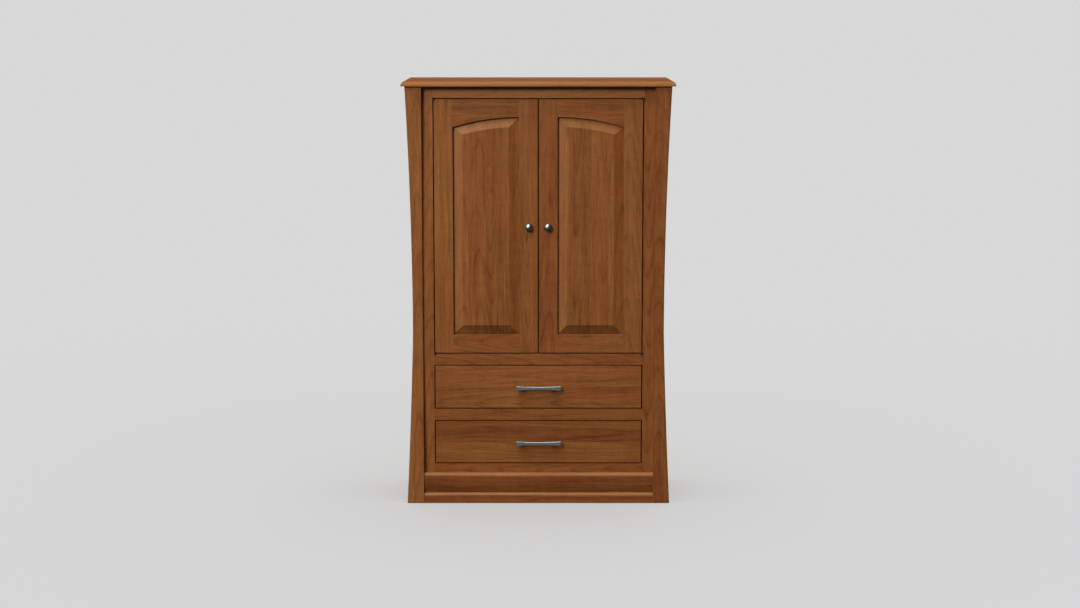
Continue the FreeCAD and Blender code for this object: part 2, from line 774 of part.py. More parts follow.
def cable_grommet(name, side):
    """A flanged sleeve, open through its middle, pushed into the back panel from inside."""
    hole = at.cable_hole_radius
    sleeve = hole - at.joint_clearance
    bore = hole - at.grommet_wall
    flange = hole + at.grommet_flange
    points = [
        (-at.grommet_flange_thickness, bore), (at.back_thickness, bore),
        (at.back_thickness, sleeve), (as_size(0), sleeve), (as_size(0), flange),
        (-at.grommet_flange_thickness, flange),
    ]
    body = turned(name, points)
    centre = cable_hole_centres()[side]
    place(body, centre[0], at.back_inner, centre[1])
    return body


def cable_grommets():
    return grouped([cable_grommet(f"cable_grommet_{side}", side) for side in (0, 1)],
                   "cable_grommets")


def adjustable_shelf():
    half = at.post_inner - at.shelf_clearance
    low = at.door_opening_low + at.shelf_height
    return board("adjustable_shelf", (-half, half),
                 (at.face_back + at.shelf_clearance, at.back_inner - at.shelf_clearance),
                 (low, low + at.board_thickness))


def shelf_pin(name, side, depth_place):
    """A plain pin with a collar, half in the post and half under the shelf."""
    axis_height = at.door_opening_low + at.shelf_height - at.pin_radius
    pin = document.addObject("Part::Cylinder", f"{name}_shank")
    bind(pin, "Radius", at.pin_radius)
    bind(pin, "Height", at.pin_depth + at.pin_reach)
    collar = document.addObject("Part::Cylinder", f"{name}_collar")
    bind(collar, "Radius", at.pin_collar_radius)
    bind(collar, "Height", at.pin_collar_thickness)
    place(collar, as_size(0), as_size(0), at.pin_reach - at.pin_collar_thickness)
    joined = document.addObject("Part::Fuse", name)
    joined.Base = pin
    joined.Tool = collar
    joined.Placement.Rotation = FreeCAD.Rotation(FreeCAD.Vector(0, side, 0), 90)
    place(joined, side * (at.post_inner - at.pin_reach), depth_place, axis_height)
    return joined


def shelf_pins():
    rows = (at.face_back + at.pin_setback, at.back_inner - at.pin_setback)
    pins = [shelf_pin(f"shelf_pin_{row}_{'right' if side > 0 else 'left'}", side, depth_place)
            for row, depth_place in enumerate(rows) for side in (1, -1)]
    return grouped(pins, "shelf_pins")


def door_mid_plane_groove():
    """Front-to-back levels of the groove in the middle of a door's thickness."""
    middle = tongue_middle(at.face, 1)
    return middle - at.groove_width / 2, middle + at.groove_width / 2


def door_tongue_span():
    low, high = door_mid_plane_groove()
    return low + at.joint_clearance / 2, high - at.joint_clearance / 2


def door_stile(name, inner, outer, groove_at_outer):
    """A door stile with the panel groove along one edge."""
    body = new_body(name)
    extrude(body, "XY", (at.door_low, at.door_high), f"{name}_stile",
            rectangle((inner, at.face), (outer, at.face_back)))
    low, high = door_mid_plane_groove()
    start = outer - at.groove_depth if groove_at_outer else inner
    cut(body, "XY", (at.door_low, at.door_high), f"{name}_groove",
        rectangle((start, low), (start + at.groove_depth, high)))
    return body


def hinge_stile(name):
    body = door_stile(name, at.door_outer - at.door_stile_width, at.door_outer, False)
    let_in_leaves(body, at.door_high, -1)
    let_in_leaves(body, at.door_low, 1)
    ease_show_edges(body, [at.door_outer], [at.door_low, at.door_high])
    return body


def meeting_stile(name):
    body = door_stile(name, at.door_inner, at.door_inner + at.door_stile_width, True)
    bore = at.knob_shank_radius + at.shank_clearance
    depth = (at.face, at.face + at.knob_shank_length + at.shank_clearance)
    cut(body, "XZ", depth, f"{name}_knob_bore", circles=[((at.knob_inset, knob_height()), bore)])
    ease_show_edges(body, [at.door_inner], [at.door_low, at.door_high])
    return body


def knob_height():
    return (at.door_low + at.door_high) / 2


def door_opening_sides():
    """Inner and outer edge of a door's panel opening."""
    inner = at.door_inner + at.door_stile_width
    outer = at.door_outer - at.door_stile_width
    return inner, outer


def arch_radius():
    inner, outer = door_opening_sides()
    return tangent_radius(outer - inner, at.arch_drop)


def arch_level(x, offset):
    """Height of the arch, moved into the panel by the offset, at a distance x."""
    inner = door_opening_sides()[0]
    centre = at.door_high - at.door_top_rail_height - arch_radius()
    radius = arch_radius() - offset
    return centre + root(radius * radius - (x - inner) * (x - inner))


def door_panel(name):
    def outline(offset):
        inner, outer = door_opening_sides()
        low = at.door_low + at.door_bottom_rail_height + offset
        left = inner + offset
        right = outer - offset
        points = [(left, low), (right, low), (right, arch_level(right, offset)),
                  (left, arch_level(left, offset))]
        return points, {2: (arch_radius() - offset, LEFT_OF_TRAVEL)}

    return raised_panel(new_body(name), "XZ", outline, at.face, 1)


def door_bottom_rail(name):
    body = new_body(name)
    inner, outer = door_opening_sides()
    low = at.door_low
    high = low + at.door_bottom_rail_height
    extrude(body, "XZ", (at.face, at.face_back), f"{name}_rail",
            rectangle((inner, low), (outer, high)))
    extrude(body, "XZ", door_tongue_span(), f"{name}_tongues",
            rectangle((inner - at.tongue_reach, low), (outer + at.tongue_reach, high)))
    cut(body, "XZ", door_mid_plane_groove(), f"{name}_groove",
        rectangle((inner - at.groove_depth, high - at.groove_depth),
                  (outer + at.groove_depth, high)))
    ease_show_edges(body, levels=[low])
    return body


def arched_outline(inner, outer, offset):
    """Outline of the top rail between two distances, its arch moved up by the offset."""
    points = [(inner, arch_level(inner, -offset)), (outer, arch_level(outer, -offset)),
              (outer, at.door_high), (inner, at.door_high)]
    return points, {0: (arch_radius() + offset, RIGHT_OF_TRAVEL)}


def door_top_rail(name):
    """A rail arched underneath, tongued into the stiles and grooved for the panel."""
    body = new_body(name)
    inner, outer = door_opening_sides()
    points, arcs = arched_outline(inner, outer, as_size(0))
    extrude(body, "XZ", (at.face, at.face_back), f"{name}_rail", points, arcs)
    points, arcs = arched_outline(inner - at.tongue_reach, outer + at.tongue_reach,
                                  at.groove_depth)
    extrude(body, "XZ", door_tongue_span(), f"{name}_tongues", points, arcs)
    groove = [(inner, arch_level(inner, as_size(0))), (outer, arch_level(outer, as_size(0))),
              (outer, arch_level(outer, -at.groove_depth)),
              (inner, arch_level(inner, -at.groove_depth))]
    arcs = {0: (arch_radius(), RIGHT_OF_TRAVEL),
            2: (arch_radius() + at.groove_depth, LEFT_OF_TRAVEL)}
    cut(body, "XZ", door_mid_plane_groove(), f"{name}_groove", groove, arcs)
    ease_show_edges(body, levels=[at.door_high])
    return body


def knob(name):
    """A domed knob on a waisted neck, with a shank that screws into the stile."""
    rim_front = -(at.knob_projection - at.knob_rim_setback)
    rim_back = rim_front + at.knob_rim_thickness
    foot = -at.knob_foot_thickness
    points = [
        (at.knob_shank_length, as_size(0)),
        (at.knob_shank_length, at.knob_shank_radius),
        (as_size(0), at.knob_shank_radius),
        (as_size(0), at.knob_foot_radius),
        (foot, at.knob_foot_radius),
        (foot - at.knob_foot_thickness, at.knob_neck_radius),
        (rim_back, at.knob_radius),
        (rim_front, at.knob_radius),
        (-at.knob_projection, as_size(0)),
    ]
    dome = tangent_radius(at.knob_radius, at.knob_rim_setback)
    arcs = {
        5: (at.knob_radius, RIGHT_OF_TRAVEL),
        7: (dome, LEFT_OF_TRAVEL),
    }
    body = turned(name, points, arcs)
    place(body, at.knob_inset, at.face, knob_height())
    return body


def hinge_leaf(name, outer, edge, direction):
    """A leaf with its knuckle, let into an edge along the given direction."""
    body = new_body(name)
    levels = leaf_levels(edge, direction)
    extrude(body, "XY", levels, f"{name}_plate", leaf_outline(outer, as_size(0)))
    knuckle = [((at.hinge_x, at.hinge_y), at.knuckle_radius)]
    extrude(body, "XY", levels, f"{name}_knuckle", circles=knuckle)
    return body


def door_hinge_leaf(name, edge, direction):
    body = hinge_leaf(name, at.door_outer, edge, direction)
    bore = at.hinge_pin_radius + at.running_clearance
    cut(body, "XY", leaf_levels(edge, direction), f"{name}_bore",
        circles=[((at.hinge_x, at.hinge_y), bore)])
    return body


def frame_hinge_leaf(name, edge, direction):
    """The leaf in the face frame, with the thrust boss and the pin of the hinge."""
    body = hinge_leaf(name, at.opening_half - at.joint_clearance, edge, direction)
    centre = (at.hinge_x, at.hinge_y)
    boss_end = edge - direction * (at.gap - at.thrust_clearance)
    pin_end = edge - direction * (at.gap + at.leaf_thickness)
    for label, end, radius in (("boss", boss_end, at.knuckle_radius),
                               ("pin", pin_end, at.hinge_pin_radius)):
        span = (end, edge) if direction > 0 else (edge, end)
        extrude(body, "XY", span, f"{name}_{label}", circles=[(centre, radius)])
    return body


def door_hinge_leaves(name):
    top = door_hinge_leaf(f"{name}_top", at.door_high, -1)
    bottom = door_hinge_leaf(f"{name}_bottom", at.door_low, 1)
    return grouped([top, bottom], name)


def frame_hinge_leaves():
    top = frame_hinge_leaf("frame_hinge_leaf_top", at.door_opening_high, 1)
    bottom = frame_hinge_leaf("frame_hinge_leaf_bottom", at.door_opening_low, -1)
    twins = [mirrored(leaf, f"{leaf.Name}_twin") for leaf in (top, bottom)]
    return grouped([top, bottom] + twins, "frame_hinge_leaves")


def magnetic_catch():
    """A double catch: a flange on the back of the top rail and a body behind the doors."""
    body = new_body("magnetic_catch")
    front = at.face_back + at.strike_thickness + at.seat_gap
    rear = front + at.catch_depth
    low = at.door_opening_high - at.catch_drop
    shoulder = at.door_opening_high + at.gap
    flange_top = at.case_top - at.gap
    points = [(front, low), (rear, low), (rear, shoulder),
              (at.face_back + at.catch_flange, shoulder),
              (at.face_back + at.catch_flange, flange_top), (at.face_back, flange_top),
              (at.face_back, at.door_opening_high), (front, at.door_opening_high)]
    extrude(body, "YZ", (-at.catch_width / 2, at.catch_width / 2), "magnetic_catch_block",
            points)
    return body


def strike_plate(name):
    high = at.door_high - at.gap
    return board(name, (at.strike_inset, at.strike_inset + at.strike_length),
                 (at.face_back, at.face_back + at.strike_thickness),
                 (high - at.strike_height, high))


def slide_profile(kind):
    """Cross-section points of a slide member: distance from the middle plane, and height."""
    wall = at.slide_wall
    outer_reach = at.slide_thickness - 2 * wall - at.slide_play
    half = at.slide_height / 2
    if kind == "cabinet":
        web, tip, web_inner = at.opening_half, -outer_reach, -wall
        flange_outer, flange_inner = half, half - wall
    elif kind == "middle":
        web = at.opening_half - wall - at.slide_play
        tip, web_inner = -(outer_reach - wall - at.slide_play), -wall
        flange_outer = half - wall - at.slide_play
        flange_inner = flange_outer - at.slide_race
    else:
        web = at.box_half
        tip, web_inner = at.slide_thickness - 2 * (wall + at.slide_play) - wall, wall
        flange_outer = half - wall - at.slide_race - 2 * at.slide_play
        flange_inner = flange_outer - wall
    return web, web + tip, web + web_inner, flange_outer, flange_inner


def slide_member(name, kind, height):
    """A folded channel that lies along Y at the given height."""
    web, tip, web_inner, outer, inner = slide_profile(kind)
    body = new_body(name)
    points = [
        (web, height - outer), (tip, height - outer), (tip, height - inner),
        (web_inner, height - inner), (web_inner, height + inner), (tip, height + inner),
        (tip, height + outer), (web, height + outer),
    ]
    extrude(body, "XZ", (at.slide_front, at.slide_rear), f"{name}_channel", points)
    return body


def slide_pair(name, kind, height):
    right = slide_member(f"{name}_right", kind, height)
    return [right, mirrored(right, f"{name}_left")]


def slide_cleats(heights):
    pieces = []
    for level, height in heights.items():
        cleat = board(f"{level}_cleat_right", (at.opening_half, at.post_inner),
                      (at.face_back, at.back_inner),
                      (height - at.cleat_height / 2, height + at.cleat_height / 2))
        pieces = pieces + [cleat, mirrored(cleat, f"{level}_cleat_left")]
    return grouped(pieces, "slide_cleats")


def pull_level(opening_low, opening_high):
    """Height of a pull, a little under the middle of its drawer front."""
    return (opening_low + opening_high) / 2 - at.pull_drop


def drawer_front(name, opening_low, opening_high, floor, box_low, box_high):
    """A slab front, grooved behind for the sides and the bottom, bored for the pull."""
    body = new_body(name)
    edge = at.opening_half - at.gap
    low = opening_low + at.gap
    high = opening_high - at.gap
    extrude(body, "XZ", (at.face, at.face_back), f"{name}_slab",
            rectangle((-edge, low), (edge, high)))
    routed = (at.face_back - at.front_groove_depth, at.face_back)
    side_low = at.box_half - at.side_tongue
    for label, sign in (("right", 1), ("left", -1)):
        ends = sorted((sign * side_low, sign * at.box_half), key=lambda size: size.number)
        cut(body, "XZ", routed, f"{name}_{label}_groove",
            rectangle((ends[0], box_low), (ends[1], box_high)))
    cut(body, "XZ", routed, f"{name}_floor_groove",
        rectangle((-side_low, floor), (side_low, floor + at.groove_width)))
    bore = at.pull_screw_radius + at.shank_clearance
    level = pull_level(opening_low, opening_high)
    holes = [((sign * at.pull_centres / 2, level), bore) for sign in (1, -1)]
    cut(body, "XZ", (at.face - at.cut_margin, at.face_back + at.cut_margin),
        f"{name}_pull_holes", circles=holes)
    ease_show_edges(body, [-edge, edge], [low, high])
    return body


def drawer_side(name, floor, box_low, box_high):
    """A drawer side, grooved inside for the bottom, tongued into the front."""
    body = new_body(name)
    outer = at.box_half
    inner = outer - at.drawer_wall
    groove = inner + at.drawer_floor
    floor_top = floor + at.groove_width
    points = [(outer, box_low), (outer, box_high), (inner, box_high), (inner, floor_top),
              (groove, floor_top), (groove, floor), (inner, floor), (inner, box_low)]
    extrude(body, "XZ", (at.face_back, at.slide_rear), f"{name}_board", points)
    play = at.joint_clearance
    tongue_low = (outer - at.side_tongue + play, box_low + play)
    tongue_high = (outer - play, box_high - play)
    extrude(body, "XZ", (at.face_back - at.front_groove_depth + play, at.face_back),
            f"{name}_tongue", rectangle(tongue_low, tongue_high))
    return body


def drawer_back(name, floor, box_high):
    half = at.box_half - at.drawer_wall
    return board(name, (-half, half), (at.slide_rear - at.drawer_wall, at.slide_rear),
                 (floor + at.groove_width, box_high))


def drawer_bottom(name, floor):
    """A thin bottom in the grooves of the sides, and in the front between the side tongues."""
    play = at.joint_clearance
    body = new_body(name)
    half = at.box_half - at.drawer_wall + at.drawer_floor - play
    levels = (floor + play / 2, floor + play / 2 + at.drawer_floor)
    extrude(body, "XY", levels, f"{name}_sheet",
            rectangle((-half, at.face_back), (half, at.slide_rear)))
    tongue_half = at.box_half - at.side_tongue - play
    front = at.face_back - at.front_groove_depth + play
    extrude(body, "XY", levels, f"{name}_tongue",
            rectangle((-tongue_half, front), (tongue_half, at.face_back)))
    return body


def drawer_pull(name, middle):
    """A bow-tie bar with bevelled front edges, on two round feet."""
    body = new_body(name)
    half = at.pull_length / 2
    end = at.pull_end_height / 2
    waist = at.pull_waist_height / 2
    radius = tangent_radius(half, end - waist)
    bar_front = -at.pull_projection
    bar_back = bar_front + at.pull_bar_thickness

    def bar_outline(inset):
        points = [
            (-half + inset, -end + inset), (as_size(0), -waist + inset),
            (half - inset, -end + inset), (half - inset, end - inset),
            (as_size(0), waist - inset), (-half + inset, end - inset),
        ]
        arcs = {edge: (radius, RIGHT_OF_TRAVEL) for edge in (0, 1, 3, 4)}
        return points, arcs

    points, arcs = bar_outline(as_size(0))
    extrude(body, "XZ", (bar_front + at.pull_bevel, bar_back), f"{name}_bar", points, arcs)
    sections = []
    for label, inset, level in (("rim", as_size(0), bar_front + at.pull_bevel),
                                ("front", at.pull_bevel, bar_front)):
        sketch = sketch_on(body, "XZ", level, f"{name}_{label}_sketch")
        points, arcs = bar_outline(inset)
        draw_outline(sketch, points, arcs)
        sections.append(sketch)
    document.recompute()
    bevel = body.newObject("PartDesign::AdditiveLoft", f"{name}_bevel")
    bevel.Profile = sections[0]
    bevel.Sections = [sections[1]]
    bevel.Ruled = True
    document.recompute()
    places = [sign * at.pull_centres / 2 for sign in (1, -1)]
    feet = [((x, as_size(0)), at.pull_foot_radius) for x in places]
    extrude(body, "XZ", (bar_back, as_size(0)), f"{name}_feet", circles=feet)
    tapped = at.pull_screw_radius + at.running_clearance
    holes = [((x, as_size(0)), tapped) for x in places]
    cut(body, "XZ", (-at.pull_screw_engagement - at.joint_clearance, as_size(0)),
        f"{name}_tapped_holes", circles=holes)
    place(body, as_size(0), at.face, middle)
    return body


def pull_screw(name, x, middle):
    """A machine screw, its head inside the drawer and its end in the foot of the pull."""
    tip = -(at.face_thickness + at.pull_screw_engagement)
    points = [(tip, as_size(0)), (tip, at.pull_screw_radius), (as_size(0), at.pull_screw_radius),
              (as_size(0), at.screw_head_radius), (at.screw_head_height, at.screw_head_radius),
              (at.screw_head_height, as_size(0))]
    body = turned(name, points)
    place(body, x, at.face_back, middle)
    return body


def drawer(level, opening_low, opening_high):
    """All pieces of one drawer, with the members of its slides that travel."""
    name = f"{level}_drawer"
    box_low = opening_low + at.drawer_box_lift
    box_high = opening_high - at.drawer_box_drop
    floor = box_low + at.drawer_floor_lift
    pull_middle = pull_level(opening_low, opening_high)
    slide = slide_level(opening_low, opening_high)
    side = drawer_side(f"{name}_side_right", floor, box_low, box_high)
    screws = [pull_screw(f"{level}_screw_{'right' if sign > 0 else 'left'}",
                         sign * at.pull_centres / 2, pull_middle) for sign in (1, -1)]
    return [
        drawer_front(f"{name}_front", opening_low, opening_high, floor, box_low, box_high),
        side,
        mirrored(side, f"{name}_side_left"),
        drawer_back(f"{name}_back", floor, box_high),
        drawer_bottom(f"{name}_bottom", floor),
        drawer_pull(f"{level}_pull", pull_middle),
        grouped(screws, f"{level}_pull_screws"),
        grouped(slide_pair(f"{level}_inner_member", "drawer", slide),
                f"{level}_slide_drawer_members"),
        grouped(slide_pair(f"{level}_middle_member", "middle", slide),
                f"{level}_slide_middle_members"),
    ]


def slide_level(opening_low, opening_high):
    """Height of a slide's middle: the middle of its drawer's sides."""
    return (opening_low + at.drawer_box_lift + opening_high - at.drawer_box_drop) / 2


def case_pieces(slide_levels):
    pieces = [top_board()]
    for make, name in ((front_post, "front_post"), (rear_post, "rear_post"),
                       (side_panel, "side_panel"), (face_stile, "face_stile")):
        pieces = pieces + pair(make, name)
    for make, name in ((side_top_rail, "side_top_rail"), (side_bottom_rail, "side_bottom_rail")):
        pieces.append(grouped(pair(make, name), f"{name}s"))
    pieces = pieces + face_rails()
    cabinet_members = []
    for level, height in slide_levels.items():
        cabinet_members += slide_pair(f"{level}_outer_member", "cabinet", height)
    return pieces + [
        base_moulding(),
        inner_board("compartment_deck", at.door_opening_low),
        inner_board("bottom_board", at.lower_opening_low),
        back_panel(),
        cable_grommets(),
        adjustable_shelf(),
        shelf_pins(),
        slide_cleats(slide_levels),
        grouped(cabinet_members, "slide_cabinet_members"),
        frame_hinge_leaves(),
        magnetic_catch(),
    ]


def door_pieces():
    pieces = []
    for make, name in ((hinge_stile, "door_hinge_stile"), (meeting_stile, "door_meeting_stile"),
                       (door_top_rail, "door_top_rail"), (door_bottom_rail, "door_bottom_rail"),
                       (door_panel, "door_panel"), (knob, "door_knob"),
                       (door_hinge_leaves, "door_hinge_leaves"),
                       (strike_plate, "door_strike_plate")):
        pieces = pieces + pair(make, name)
    return pieces


def check_features():
    """Stop if any feature failed, or if a cut removed nothing."""
    for feature in document.Objects:
        if "Invalid" in feature.State or "Error" in feature.State:
            raise RuntimeError(f"{feature.Name} failed: {feature.State}")
        if feature.TypeId == "PartDesign::Pocket":
            if not feature.Shape.Volume < feature.BaseFeature.Shape.Volume:
                raise RuntimeError(f"{feature.Name} cuts nothing")


def write(pieces):
    os.makedirs("parts", exist_ok=True)
    for piece in pieces:
        shape = piece.Shape
        if shape.isNull() or not shape.isValid() or not shape.Solids:
            raise RuntimeError(f"{piece.Label} has no valid solid")
        print(piece.Label, len(shape.Solids), round(shape.Volume))
    for piece in pieces:
        piece.Shape.exportStep(f"parts/{piece.Label}.step")


openings = {
    "upper": (at.upper_opening_low, at.upper_opening_high),
    "lower": (at.lower_opening_low, at.lower_opening_high),
}
slide_levels = {level: slide_level(*opening) for level, opening in openings.items()}
nodes = case_pieces(slide_levels) + door_pieces()
for level, opening in openings.items():
    nodes = nodes + drawer(level, *opening)
document.recompute()
check_features()
write(nodes)
print(len(nodes), "nodes")
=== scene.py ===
import json
import math
import random

import bmesh
import bpy
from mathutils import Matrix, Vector


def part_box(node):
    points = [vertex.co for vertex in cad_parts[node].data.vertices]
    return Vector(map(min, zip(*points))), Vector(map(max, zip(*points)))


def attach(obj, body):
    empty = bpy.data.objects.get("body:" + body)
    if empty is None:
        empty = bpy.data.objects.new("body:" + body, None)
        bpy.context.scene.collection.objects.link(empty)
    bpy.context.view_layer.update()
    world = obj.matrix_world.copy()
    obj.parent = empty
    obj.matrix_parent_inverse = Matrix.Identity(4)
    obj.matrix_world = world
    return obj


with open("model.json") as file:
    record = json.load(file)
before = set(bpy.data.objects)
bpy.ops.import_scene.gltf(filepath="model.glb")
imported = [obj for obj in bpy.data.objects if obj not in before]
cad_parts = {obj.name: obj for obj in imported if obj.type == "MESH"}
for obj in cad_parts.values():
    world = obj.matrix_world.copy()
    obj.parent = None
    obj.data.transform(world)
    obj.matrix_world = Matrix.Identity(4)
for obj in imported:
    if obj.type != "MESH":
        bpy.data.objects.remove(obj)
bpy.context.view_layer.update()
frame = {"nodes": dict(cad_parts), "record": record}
nodes = frame["nodes"]

# The photograph's camera: image width and focal length in pixels, the sensor's width in
# millimetres, and in metres how far it stands before the face frame, over the floor and right of
# the middle.
IMAGE_WIDTH = 1080
FOCAL_PIXELS = 2065.0
SENSOR_WIDTH = 36.0
CAMERA_DISTANCE = 8.640
CAMERA_HEIGHT = 2.1132
CAMERA_OFFSET = 0.0069
CAMERA_PITCH = math.radians(8.27)
FACE_FRAME_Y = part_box("face_top_rail")[0][1]

# Lamps: azimuth, elevation and spread in degrees, distance and size in metres, and how brightly
# each one lights the aim point. Azimuth 0 is straight in front, and a negative one is to the left.
KEY = {"azimuth": -30, "elevation": 19, "spread": 10, "strength": 0.88}
BROAD = {"azimuth": -30, "elevation": 30, "distance": 5.5, "size": 1.6, "strength": 1.56}
STEEP = {"azimuth": -25, "elevation": 66, "spread": 40, "strength": 2.45}
BACK_LEFT = {"azimuth": -125, "elevation": 8, "spread": 50, "strength": 2.0}
BACK_RIGHT = {"azimuth": 117, "elevation": 8, "spread": 50, "strength": 2.8}
OVERHEAD = {"azimuth": 0, "elevation": 84, "spread": 150, "strength": 2.65}
LAMP_AIM = Vector((0.0, -0.2, 1.2))

# The floor fades into a backdrop between these distances. Only the camera, gloss and glass see
# the backdrop and the floor's glow, and to scattered light the floor is nearly black.
BACKDROP_COLOUR = (0.687, 0.687, 0.687, 1)
BOUNCE_COLOUR = (0.03, 0.03, 0.03, 1)
FILL_STRENGTH = 0.02
FLOOR_SIZE = 60.0
FLOOR_GLOW = 0.56
FLOOR_ALBEDO = (0.35, 0.35, 0.35, 1)
FLOOR_FADE = (1.8, 6.0)

# Which way each board's grain runs, with its face: (across, into the board, along the grain).
UPRIGHT = "XYZ"
LYING = "ZYX"
SIDE_UPRIGHT = "YXZ"
SIDE_LYING = "ZXY"
FLAT_ACROSS = "YZX"


def add_camera():
    data = bpy.data.cameras.new("camera")
    data.sensor_width = SENSOR_WIDTH
    data.lens = FOCAL_PIXELS / IMAGE_WIDTH * SENSOR_WIDTH
    data.clip_end = 100.0
    camera = bpy.data.objects.new("camera", data)
    camera.location = (CAMERA_OFFSET, FACE_FRAME_Y - CAMERA_DISTANCE, CAMERA_HEIGHT)
    camera.rotation_euler = (math.pi / 2 - CAMERA_PITCH, 0, 0)
    bpy.context.collection.objects.link(camera)
    bpy.context.scene.camera = camera


def towards(azimuth, elevation):
    azimuth, elevation = math.radians(azimuth), math.radians(elevation)
    return Vector((math.sin(azimuth) * math.cos(elevation),
                   -math.cos(azimuth) * math.cos(elevation), math.sin(elevation)))


def add_lamp(name, data, direction):
    light = bpy.data.objects.new(name, data)
    light.rotation_euler = direction.to_track_quat("Z", "Y").to_euler()
    bpy.context.collection.objects.link(light)
    return light


def add_sun(name, azimuth, elevation, spread, strength):
    """A distant lamp that looks spread degrees wide."""
    data = bpy.data.lights.new(name, "SUN")
    data.energy = strength
    data.angle = math.radians(spread)
    return add_lamp(name, data, towards(azimuth, elevation))


def add_softbox(name, azimuth, elevation, distance, size, strength):
    """A round lamp of a real size, whose light falls off with distance."""
    data = bpy.data.lights.new(name, "AREA")
    data.shape = "DISK"
    data.size = size
    data.energy = strength * math.pi * distance ** 2
    direction = towards(azimuth, elevation)
    light = add_lamp(name, data, direction)
    light.location = LAMP_AIM + direction * distance
    return light


def linked(name, item, state):
    """A light-linking collection in which one object is the only one, or the one left out."""
    collection = bpy.data.collections.new(name)
    collection.objects.link(item)
    collection.collection_objects[0].light_linking.link_state = state
    return collection


def add_lights(floor):
    """Lamps at the front and back, and a soft one overhead that only lights the floor."""
    object_only = linked("all_but_floor", floor, "EXCLUDE")
    for lamp in (add_sun("key", **KEY), add_softbox("broad", **BROAD),
                 add_sun("steep", **STEEP), add_sun("back_left", **BACK_LEFT),
                 add_sun("back_right", **BACK_RIGHT)):
        lamp.light_linking.receiver_collection = object_only
    overhead = add_sun("overhead", **OVERHEAD)
    overhead.light_linking.receiver_collection = linked("floor_only", floor, "INCLUDE")


# A mix node has sockets of the same names for numbers, vectors and colours. These are the colours.
MIX_COLOUR_A, MIX_COLOUR_B, MIX_COLOUR_RESULT = 6, 7, 2

# Most of a smooth noise lies between these values.
MOST_OF_NOISE = (0.35, 0.65)

# How many times a metre the wear of an arris comes and goes, and its least. Wear starts where the
# rounded normal has the first of these cosines to the true one, and is full at the second.
WEAR_SCALE = (30, 30, 30)
WEAR_LEAST = 0.25
WEAR_COSINES = (0.995, 0.80)


